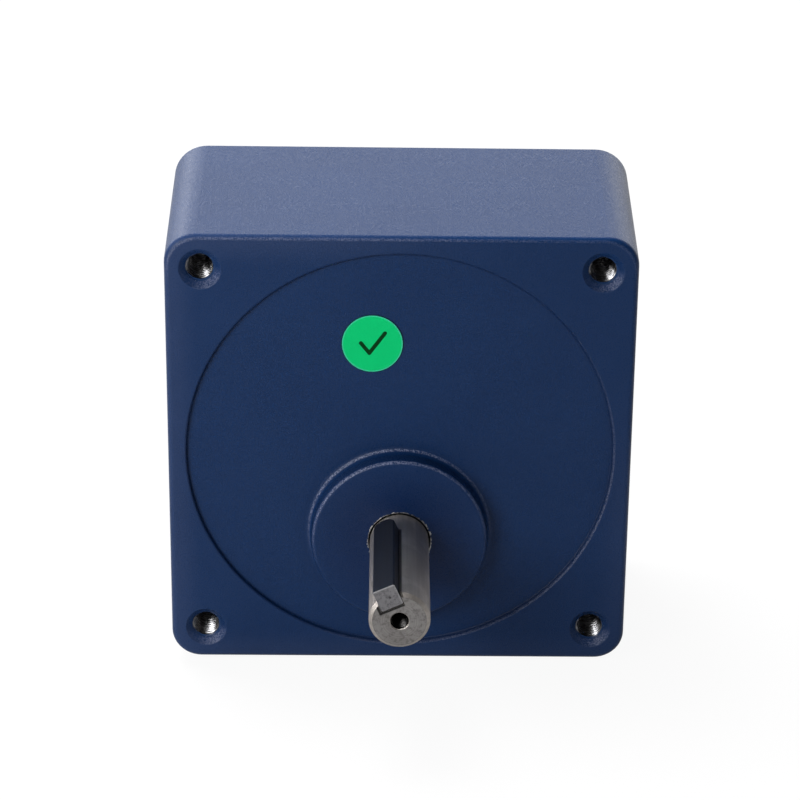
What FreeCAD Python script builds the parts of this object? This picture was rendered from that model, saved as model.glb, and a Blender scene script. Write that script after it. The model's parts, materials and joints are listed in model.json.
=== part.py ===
import FreeCAD, Part
import math
import os

import Sketcher
from FreeCAD import Placement, Rotation, Vector
from fcgear import fcgear, involute

# A square parallel-shaft gearhead: a die-cast housing with an offset output shaft, closed at the motor
# side by a gear plate. Three reductions sit in layers behind the front wall: the output pair in front,
# the second pair behind it and the gear that the motor's pinion drives at the back.
#
# Every piece is drawn face on: x to the right, y up, z out of the front face, zero on the mounting face.
# Standing the pieces up then turns z to the front, which is -Y of the finished part, with +Z up.

# Driving sizes, in millimetres and degrees
SIZES = {
    # Casting
    "depth": 42.0,
    "rim_wall": 3.5,
    "draft_angle": 1.2,
    "corner_radius": 5.9,
    "front_edge_round": 1.0,
    "front_wall": 5.0,
    "recess_dia": 72.0,
    "recess_depth": 0.8,
    "recess_round": 0.36,
    # Motor register and the ledge that the gear plate sits on
    "gear_room": 1.0,
    "plate_ledge": 1.2,
    "register_step": 0.8,
    "register_depth": 3.5,
    "plate_sink": 0.2,
    "register_lead": 0.3,
    # Corner holes, cored through and tapped from both ends
    "hole_pcd": 94.0,
    "hole_core": 4.2,
    "hole_thread": 5.0,
    "hole_tap_depth": 14.0,
    "hole_sink": 7.0,
    "hole_rim_round": 0.3,
    # Boss round the output bearing
    "shaft_offset": 15.0,
    "boss_wall": 2.0,
    "boss_height": 2.9,
    "boss_lip": 2.4,
    "boss_draft": 1.0,
    "boss_edge_round": 0.8,
    "boss_foot_round": 1.2,
    "bore_gap": 0.25,
    "bore_chamfer": 0.12,
    "seal_relief": 0.5,
    "bearing_shoulder": 2.0,
    "inner_boss_wall": 3.0,
    # Output shaft
    "shaft_dia": 10.0,
    "shaft_reach": 31.6,
    "shaft_chamfer": 0.6,
    "tip_thread": 3.0,
    "tip_depth": 9.0,
    "tip_sink": 3.3,
    "collar_dia": 14.0,
    "collar_width": 1.5,
    "gear_seat_dia": 12.0,
    "tail_dia": 8.2,
    "tail_length": 1.5,
    "tail_journal_dia": 6.0,
    "end_chamfer": 0.4,
    # Keys
    "key_width": 4.0,
    "key_height": 4.0,
    "key_setback": 3.7,
    "key_seat": 2.5,
    "key_edge": 0.2,
    "key_play": 0.1,
    "key_lift": 0.2,
    "key_angle": 24.5,
    "gear_key_length": 7.0,
    "hub_slot": 1.8,
    # Retaining ring behind the output gear
    "circlip_thickness": 1.0,
    "circlip_seat": 0.25,
    "circlip_width": 2.2,
    "circlip_play": 0.05,
    "circlip_gap_angle": 50.0,
    "circlip_ear_dia": 3.4,
    "circlip_ear_hole": 1.5,
    # Ball bearings of the output shaft
    "front_bearing_od": 26.0,
    "front_bearing_width": 8.0,
    "front_ball_dia": 4.76,
    "front_ball_count": 7,
    "front_land": 1.45,
    "front_cage_wall": 1.4,
    "front_cage_bridge": 0.7,
    "front_closure": 0.5,
    "rear_bearing_od": 13.0,
    "rear_bearing_width": 5.0,
    "rear_ball_dia": 2.38,
    "rear_ball_count": 8,
    "rear_land": 0.7,
    "rear_cage_wall": 0.6,
    "rear_cage_bridge": 0.35,
    "rear_closure": 0.3,
    "closure_inset": 0.2,
    "closure_gap": 0.15,
    "ball_play": 0.08,
    "pocket_play": 0.12,
    "ring_edge": 0.3,
    # Gear pairs
    "pressure_angle": 20.0,
    "output_module": 1.0,
    "output_teeth": 36,
    "output_shift": -0.5,
    "output_face": 9.0,
    "second_pinion_teeth": 12,
    "second_pinion_shift": 0.3,
    "second_angle": 40.0,
    "second_module": 0.8,
    "second_teeth": 40,
    "second_shift": -0.4,
    "second_face": 6.0,
    "first_pinion_teeth": 15,
    "first_pinion_shift": 0.2,
    "first_angle": 141.8,
    "first_module": 0.6,
    "first_teeth": 45,
    "first_helix": 15.0,
    "first_face": 5.0,
    "layer_gap": 0.6,
    "hub_wall": 3.2,
    "gear_rim": 2.4,
    "output_web": 5.4,
    "second_web": 3.6,
    "first_web": 3.0,
    # Shafts of the first two reductions, their bushes and thrust washers
    "pin_dia": 6.0,
    "second_seat_dia": 9.0,
    "first_seat_dia": 9.0,
    "shank_dia": 8.0,
    "bush_od": 10.0,
    "bush_length": 5.0,
    "bush_play": 0.03,
    "bush_edge": 0.3,
    "pad_dia": 14.0,
    "pad_height": 3.0,
    "shim_thickness": 0.5,
    "shim_od": 9.4,
    "shim_play": 0.1,
    "end_play": 0.1,
    # Gear plate and what holds it
    "plate_thickness": 6.0,
    "plate_play": 0.02,
    "pinion_hole_dia": 13.0,
    "bearing_window_dia": 10.0,
    "post_inset": 4.0,
    "screw_post_dia": 9.0,
    "screw_dia": 3.0,
    "screw_hole_dia": 3.4,
    "screw_head_dia": 6.0,
    "screw_length": 14.0,
    "screw_tap_depth": 10.0,
    "screw_play": 0.05,
    "screw_angle_top": 57.0,
    "screw_angle_left": 180.0,
    "screw_angle_right": 325.0,
    "dowel_post_dia": 6.4,
    "dowel_dia": 3.0,
    "dowel_length": 10.0,
    "dowel_sink": 5.0,
    "dowel_play": 0.01,
    "dowel_angle_upper": 145.0,
    "dowel_angle_lower": 215.0,
    # Round sticker on the front recess
    "sticker_dia": 10.3,
    "sticker_thickness": 0.1,
    "sticker_x": -4.8,
    "sticker_up": 19.9,
}

# Tooth proportions of the basic rack, in modules
ADDENDUM = 1.0
DEDENDUM = 1.25
ROOT_ROUND = 0.38

SINK_ANGLE = 90.0
CORNER_COUNT = 4

# Angles seen face on, from x anticlockwise
CORNER_ANGLE = 45.0
QUARTER_TURN = 90.0
HALF_TURN = 180.0
DOWN_ANGLE = 270.0
FULL_TURN = 360.0

UPRIGHT = Rotation(Vector(1, 0, 0), QUARTER_TURN)
OUTWARD = Vector(0, 0, 1)
NEAR = 1e-4

# How a sketch numbers its own axes, its origin and the points of a curve
AXIS_OF_ZERO = {"DistanceX": -2, "DistanceY": -1}
ORIGIN = (-1, 1)
START, END, CENTRE = 1, 2, 3

# Axes of the shafts, seen face on
OUTPUT_CENTRES = "(dims.output_module * (dims.output_teeth + dims.second_pinion_teeth) / 2)"
SECOND_CENTRES = "(dims.second_module * (dims.second_teeth + dims.first_pinion_teeth) / 2)"
MOTOR_AXIS = ("0", "0")
OUTPUT_AXIS = ("0", "-dims.shaft_offset")
SECOND_AXIS = (
    f"({OUTPUT_CENTRES} * sin(dims.second_angle))",
    f"({OUTPUT_CENTRES} * cos(dims.second_angle) - dims.shaft_offset)",
)
FIRST_AXIS = (
    f"({SECOND_AXIS[0]} + {SECOND_CENTRES} * cos(dims.first_angle))",
    f"({SECOND_AXIS[1]} + {SECOND_CENTRES} * sin(dims.first_angle))",
)

# Radii that follow from the output gear and the output bearing
OUTPUT_TIP = f"(dims.output_module * (dims.output_teeth / 2 + {ADDENDUM} + dims.output_shift))"
ROOM_RADIUS = f"(dims.shaft_offset + {OUTPUT_TIP} + dims.gear_room)"
PLATE_RADIUS = f"({ROOM_RADIUS} + dims.plate_ledge)"
REGISTER_RADIUS = f"({PLATE_RADIUS} + dims.register_step)"
FRAME_HALF = f"({REGISTER_RADIUS} + dims.rim_wall)"
BOSS_RADIUS = "(dims.front_bearing_od / 2 + dims.boss_wall)"
BORE_RADIUS = "(dims.shaft_dia / 2 + dims.bore_gap)"
POST_CIRCLE = f"({ROOM_RADIUS} - dims.post_inset)"

# Heights along the shafts, from the front to the rear
TIP = "dims.shaft_reach"
BEARING_FRONT = "(dims.boss_height - dims.boss_lip)"
BEARING_REAR = f"({BEARING_FRONT} - dims.front_bearing_width)"
ROOM_FLOOR = "(-dims.front_wall)"
PAD_FACE = f"({ROOM_FLOOR} - dims.pad_height)"
PIN_SHOULDER = f"({PAD_FACE} - dims.shim_thickness - dims.end_play)"
OUTPUT_FRONT = f"({BEARING_REAR} - dims.collar_width)"
OUTPUT_REAR = f"({OUTPUT_FRONT} - dims.output_face)"
CIRCLIP_REAR = f"({OUTPUT_REAR} - dims.circlip_thickness - dims.circlip_play)"
SECOND_FRONT = f"({CIRCLIP_REAR} - dims.layer_gap)"
SECOND_REAR = f"({SECOND_FRONT} - dims.second_face)"
FIRST_FRONT = f"({SECOND_REAR} - dims.layer_gap)"
FIRST_REAR = f"({FIRST_FRONT} - dims.first_face)"
REGISTER_FLOOR = "(dims.register_depth - dims.depth)"
PLATE_REAR = f"({REGISTER_FLOOR} + dims.plate_sink)"
PLATE_FRONT = f"({PLATE_REAR} + dims.plate_thickness)"
REAR_SHOULDER = f"({PLATE_FRONT} + dims.shim_thickness + dims.end_play)"
REAR = "(-dims.depth)"

doc = FreeCAD.newDocument("gearhead")
sheet = doc.addObject("Spreadsheet::Sheet", "dims")
for row, (alias, number) in enumerate(SIZES.items(), start=1):
    sheet.set(f"A{row}", alias)
    sheet.set(f"B{row}", str(number))
    sheet.setAlias(f"B{row}", alias)
doc.recompute()

pieces = []


def value(expression):
    """The number that an expression over the sheet comes to."""
    return float(sheet.evalExpression(expression))


def polar(radius, angle):
    """A place seen face on, as two expressions, from a radius and an angle from x."""
    return f"({radius} * cos({angle}))", f"({radius} * sin({angle}))"


def stand(piece, label, axis=MOTOR_AXIS, turn="0"):
    """Name a finished piece and stand it up on its own axis, turned about that axis."""
    piece.Label = label
    piece.Placement = Placement(Vector(), UPRIGHT * Rotation(OUTWARD, value(turn)))
    piece.setExpression(".Placement.Base.x", axis[0])
    piece.setExpression(".Placement.Base.z", axis[1])
    pieces.append(piece)


def sketch_on(body, role, name, lift="0"):
    """An empty sketch on one of the body's own planes, lifted along the plane's normal."""
    sketch = body.newObject("Sketcher::SketchObject", name)
    plane = next(item for item in body.Origin.OriginFeatures if item.Role == role)
    sketch.AttachmentSupport = (plane, [""])
    sketch.MapMode = "FlatFace"
    sketch.setExpression(".AttachmentOffset.Base.z", lift)
    return sketch


def hold(sketch, kind, curve, point, expression):
    """Tie one coordinate of a sketch point to an expression, or to the axis where it is zero."""
    if expression == "0":
        sketch.addConstraint(Sketcher.Constraint("PointOnObject", curve, point, AXIS_OF_ZERO[kind]))
        return
    row = sketch.addConstraint(Sketcher.Constraint(kind, *ORIGIN, curve, point, value(expression)))
    sketch.setExpression(f"Constraints[{row}]", expression)


def draw_outline(sketch, corners, centres=None):
    """A closed outline through the corners; a side with a centre is an arc, anticlockwise round it."""
    centres = centres or {}
    points = [Vector(value(x), value(y), 0) for x, y in corners]
    count = len(points)
    for side, start in enumerate(points):
        end = points[(side + 1) % count]
        if side not in centres:
            sketch.addGeometry(Part.LineSegment(start, end))
            continue
        centre = Vector(value(centres[side][0]), value(centres[side][1]), 0)
        start_angle = math.atan2(start.y - centre.y, start.x - centre.x)
        end_angle = math.atan2(end.y - centre.y, end.x - centre.x)
        circle = Part.Circle(centre, OUTWARD, start.distanceToPoint(centre))
        sketch.addGeometry(Part.ArcOfCircle(circle, start_angle, end_angle))
    for side in range(count):
        sketch.addConstraint(Sketcher.Constraint("Coincident", side, END, (side + 1) % count, START))
        hold(sketch, "DistanceX", side, START, corners[side][0])
        hold(sketch, "DistanceY", side, START, corners[side][1])
    for side, (x, y) in centres.items():
        chord = points[(side + 1) % count] - points[side]
        if abs(chord.y) > abs(chord.x):
            hold(sketch, "DistanceX", side, CENTRE, x)
        else:
            hold(sketch, "DistanceY", side, CENTRE, y)


def draw_circle(sketch, place, radius):
    """A circle whose place and radius are tied to expressions."""
    centre = Vector(value(place[0]), value(place[1]), 0)
    curve = sketch.addGeometry(Part.Circle(centre, OUTWARD, value(radius)))
    hold(sketch, "DistanceX", curve, CENTRE, place[0])
    hold(sketch, "DistanceY", curve, CENTRE, place[1])
    row = sketch.addConstraint(Sketcher.Constraint("Radius", curve, value(radius)))
    sketch.setExpression(f"Constraints[{row}]", radius)


def rounded_square(half, radius):
    """Corners and arc centres of a square with round corners, anticlockwise."""
    flat = f"({half} - {radius})"
    corners = [
        (f"-{flat}", f"-{half}"), (flat, f"-{half}"),
        (half, f"-{flat}"), (half, flat),
        (flat, half), (f"-{flat}", half),
        (f"-{half}", flat), (f"-{half}", f"-{flat}"),
    ]
    centres = {
        1: (flat, f"-{flat}"), 3: (flat, flat), 5: (f"-{flat}", flat), 7: (f"-{flat}", f"-{flat}"),
    }
    return corners, centres


def add_pad(body, sketch, length, inward=False, taper="0"):
    """Raise a sketch along its normal, or inward against it, drawn in by the taper angle."""
    pad = body.newObject("PartDesign::Pad", sketch.Name + "_pad")
    pad.Profile = sketch
    pad.setExpression("Length", length)
    pad.Reversed = inward
    pad.setExpression("TaperAngle", f"-{taper}")
    doc.recompute()
    return pad


def add_cut(body, kind, sketch, setting, expression, reverse=False):
    """Cut a sketch into the body, and stop if it took nothing away."""
    before = body.Shape.Volume
    cut = body.newObject(kind, sketch.Name + "_cut")
    cut.Profile = sketch
    cut.setExpression(setting, expression)
    cut.Reversed = reverse
    if kind == "PartDesign::Groove":
        cut.ReferenceAxis = (sketch, ["V_Axis"])
    doc.recompute()
    if body.Shape.Volume > before - NEAR:
        raise RuntimeError(f"{cut.Name} cut nothing")
    return cut


def bore_from_rear(body, name, place, radius, start, end):
    """A round pocket from the height start, towards the front, to the height end."""
    sketch = sketch_on(body, "XY_Plane", name, start)
    draw_circle(sketch, place, radius)
    add_cut(body, "PartDesign::Pocket", sketch, "Length", f"{end} - {start}", reverse=True)


def boss_from_rear(body, name, places, radius, start, end):
    """Round bosses that stand from the wall at the height end back to the height start."""
    sketch = sketch_on(body, "XY_Plane", name, start)
    for place in places:
        draw_circle(sketch, place, radius)
    add_pad(body, sketch, f"{end} - {start}")


def edges_where(shape, wanted):
    """Names of the edges that pass a test."""
    return [f"Edge{i}" for i, edge in enumerate(shape.Edges, start=1) if wanted(edge)]


def circle_at(place, radius, height):
    """A test for whole circles of this place, radius and height."""
    centre = Vector(value(place[0]), value(place[1]), value(height))
    size = value(radius)

    def wanted(edge):
        round_edge = edge.isClosed() and isinstance(edge.Curve, Part.Circle)
        return round_edge and edge.Curve.Center.isEqual(centre, NEAR) and abs(edge.Curve.Radius - size) < NEAR

    return wanted


def in_plane(height):
    """A test for edges that lie in the plane at this height."""
    level = value(height)

    def wanted(edge):
        return max(abs(edge.BoundBox.ZMin - level), abs(edge.BoundBox.ZMax - level)) < NEAR

    return wanted


def dress(body, kind, name, setting, expression, wanted):
    """A fillet or chamfer on the edges that pass a test."""
    base = body.Tip
    edges = edges_where(base.Shape, wanted)
    if not edges:
        raise RuntimeError(f"{name} found no edge")
    feature = body.newObject(kind, name)
    feature.Base = (base, edges)
    feature.setExpression(setting, expression)
    doc.recompute()


def turned(name, corners):
    """A body turned about z from a profile of radius and height."""
    body = doc.addObject("PartDesign::Body", name)
    sketch = sketch_on(body, "XZ_Plane", name + "_profile")
    draw_outline(sketch, corners)
    turn = body.newObject("PartDesign::Revolution", name + "_turn")
    turn.Profile = sketch
    turn.ReferenceAxis = (sketch, ["V_Axis"])
    turn.Angle = FULL_TURN
    doc.recompute()
    return body


def tube_profile(inner, outer, low, high, inner_edge=None, outer_edge=None):
    """Profile of a plain ring, with its inner or outer corners cut off where an edge size is given."""
    profile = []
    if inner_edge:
        profile += [(f"{inner} + {inner_edge}", low)]
    else:
        profile += [(inner, low)]
    if outer_edge:
        profile += [(f"{outer} - {outer_edge}", low), (outer, f"{low} + {outer_edge}")]
        profile += [(outer, f"{high} - {outer_edge}"), (f"{outer} - {outer_edge}", high)]
    else:
        profile += [(outer, low), (outer, high)]
    if inner_edge:
        profile += [(f"{inner} + {inner_edge}", high), (inner, f"{high} - {inner_edge}")]
        profile += [(inner, f"{low} + {inner_edge}")]
    else:
        profile += [(inner, high)]
    return profile


def cylinder(name, radius, low, high):
    """A plain round bar between two heights."""
    bar = doc.addObject("Part::Cylinder", name)
    bar.setExpression("Radius", radius)
    bar.setExpression("Height", f"{high} - {low}")
    bar.setExpression(".Placement.Base.z", low)
    return bar


def difference(name, base, tool):
    """One shape less another."""
    cut = doc.addObject("Part::Cut", name)
    cut.Base = base
    cut.Tool = tool
    doc.recompute()
    return cut


def union(name, shapes):
    """Several shapes made one."""
    fused = doc.addObject("Part::MultiFuse", name)
    fused.Shapes = shapes
    fused.Refine = True
    doc.recompute()
    return fused


def group(name, members):
    """Several separate solids kept together as one piece."""
    compound = doc.addObject("Part::Compound", name)
    compound.Links = members
    doc.recompute()
    return compound


def gear_outline(module, teeth, shift, phase):
    """Closed involute outline with a tooth centred on the phase angle."""
    pen = fcgear.FCWireBuilder()
    involute.CreateExternalGear(
        pen, module, teeth, value("dims.pressure_angle"), True, ADDENDUM, DEDENDUM, ROOT_ROUND, shift
    )
    outline = Part.Wire([curve.toShape() for curve in pen.wire])
    outline.rotate(Vector(), OUTWARD, phase)
    return outline


def spur_teeth(name, module, teeth, shift, phase, low, high):
    """A toothed bar of straight involute teeth between two heights."""
    outline = doc.addObject("Part::Feature", name + "_outline")
    outline.Shape = gear_outline(value(module), int(value(teeth)), value(shift), value(phase))
    outline.setExpression(".Placement.Base.z", low)
    bar = doc.addObject("Part::Extrusion", name)
    bar.Base = outline
    bar.DirMode = "Custom"
    bar.Dir = OUTWARD
    bar.Solid = True
    bar.setExpression("LengthFwd", f"{high} - {low}")
    doc.recompute()
    return bar


def helical_teeth(name, low, high):
    """A toothed bar of helical teeth: the outline turns by face width times tan(helix) over pitch radius."""
    helix = math.radians(value("dims.first_helix"))
    module = value("dims.first_module") / math.cos(helix)
    teeth = int(value("dims.first_teeth"))
    face = value(f"{high} - {low}")
    twist = math.degrees(face * math.tan(helix) / (module * teeth / 2))
    rear = gear_outline(module, teeth, 0.0, 0.0)
    front = gear_outline(module, teeth, 0.0, twist)
    rear.translate(OUTWARD * value(low))
    front.translate(OUTWARD * value(high))
    bar = doc.addObject("Part::Feature", name)
    bar.Shape = Part.makeLoft([rear, front], True, True)
    return bar


def gear_hollows(name, seat, root, web, low, high):
    """What is taken out of a gear blank: its bore, and a ring from each face that leaves hub, web and rim."""
    hub = f"({seat} + dims.hub_wall)"
    rim = f"({root} - dims.gear_rim)"
    sink = f"(({high} - {low} - {web}) / 2)"
    hollows = [cylinder(name + "_bore", seat, low, high)]
    for side, start, stop in (("rear", low, f"({low} + {sink})"), ("front", f"({high} - {sink})", high)):
        ring = cylinder(f"{name}_{side}_ring", rim, start, stop)
        core = cylinder(f"{name}_{side}_core", hub, start, stop)
        hollows.append(difference(f"{name}_{side}_hollow", ring, core))
    return hollows


def make_housing():
    """The casting: drafted square block, recess and boss in front, gear room and register behind."""
    body = doc.addObject("PartDesign::Body", "housing")

    block = sketch_on(body, "XY_Plane", "block", REAR)
    draw_outline(block, *rounded_square(FRAME_HALF, "dims.corner_radius"))
    add_pad(body, block, "dims.depth", taper="dims.draft_angle")
    dress(body, "PartDesign::Fillet", "front_edge", "Radius", "dims.front_edge_round", in_plane("0"))

    recess = sketch_on(body, "XY_Plane", "recess")
    draw_circle(recess, MOTOR_AXIS, "dims.recess_dia / 2")
    add_cut(body, "PartDesign::Pocket", recess, "Length", "dims.recess_depth")
    rim = circle_at(MOTOR_AXIS, "dims.recess_dia / 2", "0")
    floor = circle_at(MOTOR_AXIS, "dims.recess_dia / 2", "-dims.recess_depth")
    dress(body, "PartDesign::Fillet", "recess_edges", "Radius", "dims.recess_round",
          lambda edge: rim(edge) or floor(edge))

    boss = sketch_on(body, "XY_Plane", "boss", "-dims.recess_depth")
    draw_circle(boss, OUTPUT_AXIS, BOSS_RADIUS)
    rise = "(dims.recess_depth + dims.boss_height)"
    add_pad(body, boss, rise, taper="dims.boss_draft")
    foot = circle_at(OUTPUT_AXIS, BOSS_RADIUS, "-dims.recess_depth")
    dress(body, "PartDesign::Fillet", "boss_foot", "Radius", "dims.boss_foot_round", foot)
    crown = circle_at(OUTPUT_AXIS, f"{BOSS_RADIUS} - {rise} * tan(dims.boss_draft)", "dims.boss_height")
    dress(body, "PartDesign::Fillet", "boss_edge", "Radius", "dims.boss_edge_round", crown)

    bore_from_rear(body, "gear_room", MOTOR_AXIS, ROOM_RADIUS, REAR, ROOM_FLOOR)
    bore_from_rear(body, "plate_seat", MOTOR_AXIS, PLATE_RADIUS, REAR, PLATE_FRONT)
    bore_from_rear(body, "register", MOTOR_AXIS, REGISTER_RADIUS, REAR, REGISTER_FLOOR)
    mouth = circle_at(MOTOR_AXIS, REGISTER_RADIUS, REAR)
    dress(body, "PartDesign::Chamfer", "register_mouth", "Size", "dims.register_lead", mouth)

    inside = "(-dims.front_wall / 2)"
    bearing_boss = "(dims.front_bearing_od / 2 + dims.inner_boss_wall)"
    boss_from_rear(body, "bearing_boss", [OUTPUT_AXIS], bearing_boss, BEARING_REAR, inside)
    boss_from_rear(body, "bush_pads", [FIRST_AXIS, SECOND_AXIS], "dims.pad_dia / 2", PAD_FACE, inside)
    boss_from_rear(body, "screw_posts", SCREW_PLACES, "dims.screw_post_dia / 2", PLATE_FRONT, inside)
    boss_from_rear(body, "dowel_posts", DOWEL_PLACES, "dims.dowel_post_dia / 2", PLATE_FRONT, inside)

    bearing = "dims.front_bearing_od / 2"
    bore_from_rear(body, "bearing_seat", OUTPUT_AXIS, bearing, BEARING_REAR, BEARING_FRONT)
    relief = f"({bearing} - dims.bearing_shoulder)"
    relief_top = f"({BEARING_FRONT} + dims.seal_relief)"
    bore_from_rear(body, "seal_relief_bore", OUTPUT_AXIS, relief, BEARING_FRONT, relief_top)
    bore_from_rear(body, "shaft_bore", OUTPUT_AXIS, BORE_RADIUS, relief_top, "dims.boss_height")
    lip = circle_at(OUTPUT_AXIS, BORE_RADIUS, "dims.boss_height")
    dress(body, "PartDesign::Chamfer", "bore_edge", "Size", "dims.bore_chamfer", lip)
    for name, axis in (("first", FIRST_AXIS), ("second", SECOND_AXIS)):
        depth = f"{PAD_FACE} + dims.bush_length"
        bore_from_rear(body, name + "_bush_bore", axis, "dims.bush_od / 2", PAD_FACE, f"({depth})")
    for side, place in enumerate(SCREW_PLACES):
        depth = f"({PLATE_FRONT} + dims.screw_tap_depth)"
        bore_from_rear(body, f"screw_tap_{side}", place, "dims.screw_dia / 2", PLATE_FRONT, depth)
    for side, place in enumerate(DOWEL_PLACES):
        depth = f"({PLATE_FRONT} + dims.dowel_sink)"
        bore_from_rear(body, f"dowel_bore_{side}", place, "dims.dowel_dia / 2", PLATE_FRONT, depth)

    corner = polar("dims.hole_pcd / 2", str(CORNER_ANGLE))
    cores = sketch_on(body, "XY_Plane", "corner_cores", REAR)
    draw_circle(cores, corner, "dims.hole_core / 2")
    core = add_cut(body, "PartDesign::Pocket", cores, "Length", "dims.depth", reverse=True)
    repeat_round(body, core, (cores, ["N_Axis"]), CORNER_COUNT)
    add_tapped_holes(body, "front_holes", corner, "0", False)
    corners = [polar("dims.hole_pcd / 2", str(CORNER_ANGLE + side * QUARTER_TURN)) for side in range(CORNER_COUNT)]
    rims = [circle_at(place, "dims.hole_sink / 2", "0") for place in corners]
    dress(body, "PartDesign::Fillet", "hole_rims", "Radius", "dims.hole_rim_round",
          lambda edge: any(rim_of(edge) for rim_of in rims))
    add_tapped_holes(body, "rear_holes", corner, REAR, True)
    stand(body, "housing")


def add_tapped_holes(body, name, place, height, from_rear):
    """A tapped hole with its countersink, as wide as its thread, repeated round the frame."""
    sketch = sketch_on(body, "XY_Plane", name, height)
    draw_circle(sketch, place, "dims.hole_thread / 2")
    doc.recompute()
    hole = body.newObject("PartDesign::Hole", name + "_drill")
    hole.Profile = sketch
    hole.Threaded = False
    hole.Reversed = from_rear
    hole.setExpression("Diameter", "dims.hole_thread")
    hole.DepthType = "Dimension"
    hole.setExpression("Depth", "dims.hole_tap_depth")
    hole.DrillPoint = "Flat"
    hole.HoleCutType = "Countersink"
    hole.HoleCutCustomValues = True
    hole.setExpression("HoleCutDiameter", "dims.hole_sink")
    hole.HoleCutCountersinkAngle = SINK_ANGLE
    doc.recompute()
    repeat_round(body, hole, (sketch, ["N_Axis"]), CORNER_COUNT)


def repeat_round(body, feature, axis, count):
    """Repeat a cut evenly round an axis, and stop if the copies took nothing away."""
    before = feature.Shape.Volume
    pattern = body.newObject("PartDesign::PolarPattern", feature.Name + "_round")
    pattern.Originals = [feature]
    pattern.Axis = axis
    pattern.Occurrences = count
    pattern.Angle = FULL_TURN
    body.Tip = pattern
    doc.recompute()
    if body.Shape.Volume > before - NEAR:
        raise RuntimeError(f"{pattern.Name} cut nothing")


def make_gear_plate():
    """The plate between gear room and motor: bush and bearing seats, screw and dowel holes, pinion hole."""
    body = doc.addObject("PartDesign::Body", "gear_plate")
    disc = sketch_on(body, "XY_Plane", "plate_disc", PLATE_REAR)
    draw_circle(disc, MOTOR_AXIS, f"{PLATE_RADIUS} - dims.plate_play")
    add_pad(body, disc, "dims.plate_thickness")
    bore_from_rear(body, "pinion_hole", MOTOR_AXIS, "dims.pinion_hole_dia / 2", PLATE_REAR, PLATE_FRONT)
    for name, axis in (("first", FIRST_AXIS), ("second", SECOND_AXIS)):
        bore_from_rear(body, name + "_plate_bore", axis, "dims.bush_od / 2", PLATE_REAR, PLATE_FRONT)
    window = "dims.bearing_window_dia / 2"
    bore_from_rear(body, "bearing_window", OUTPUT_AXIS, window, PLATE_REAR, PLATE_FRONT)
    seat_rear = f"({PLATE_FRONT} - dims.rear_bearing_width)"
    bore_from_rear(body, "rear_seat", OUTPUT_AXIS, "dims.rear_bearing_od / 2", seat_rear, PLATE_FRONT)
    for side, place in enumerate(SCREW_PLACES):
        bore_from_rear(body, f"screw_hole_{side}", place, "dims.screw_hole_dia / 2", PLATE_REAR, PLATE_FRONT)
    rims = [circle_at(place, "dims.screw_hole_dia / 2", PLATE_REAR) for place in SCREW_PLACES]
    dress(body, "PartDesign::Chamfer", "screw_sinks", "Size",
          "(dims.screw_head_dia - dims.screw_hole_dia) / 2 + dims.screw_play",
          lambda edge: any(rim(edge) for rim in rims))
    for side, place in enumerate(DOWEL_PLACES):
        bore_from_rear(body, f"dowel_hole_{side}", place, "dims.dowel_dia / 2", PLATE_REAR, PLATE_FRONT)
    stand(body, "gear_plate")


def make_plate_fixings():
    """Countersunk screws and dowel pins of the gear plate."""
    shank = "(dims.screw_dia / 2 - dims.screw_play)"
    head = "(dims.screw_head_dia / 2)"
    cone = f"({PLATE_REAR} + {head} - {shank})"
    end = f"({PLATE_REAR} + dims.screw_length)"
    profile = [
        ("0", PLATE_REAR), (head, PLATE_REAR), (shank, cone),
        (shank, f"{end} - dims.end_chamfer"), (f"{shank} - dims.end_chamfer", end), ("0", end),
    ]
    stand(group("plate_screws", [moved(turned(f"plate_screw_{side}", profile), place)
                                 for side, place in enumerate(SCREW_PLACES)]), "plate_screws")
    radius = "(dims.dowel_dia / 2 - dims.dowel_play)"
    low = f"({PLATE_FRONT} - (dims.dowel_length - dims.dowel_sink + dims.dowel_play))"
    high = f"({PLATE_FRONT} + dims.dowel_sink - dims.dowel_play)"
    profile = [
        ("0", low), (f"{radius} - dims.end_chamfer", low), (radius, f"{low} + dims.end_chamfer"),
        (radius, f"{high} - dims.end_chamfer"), (f"{radius} - dims.end_chamfer", high), ("0", high),
    ]
    stand(group("plate_dowels", [moved(turned(f"plate_dowel_{side}", profile), place)
                                 for side, place in enumerate(DOWEL_PLACES)]), "plate_dowels")


def moved(body, place):
    """Shift a body, seen face on, to its place in a group."""
    body.setExpression(".Placement.Base.x", place[0])
    body.setExpression(".Placement.Base.y", place[1])
    return body


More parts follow.
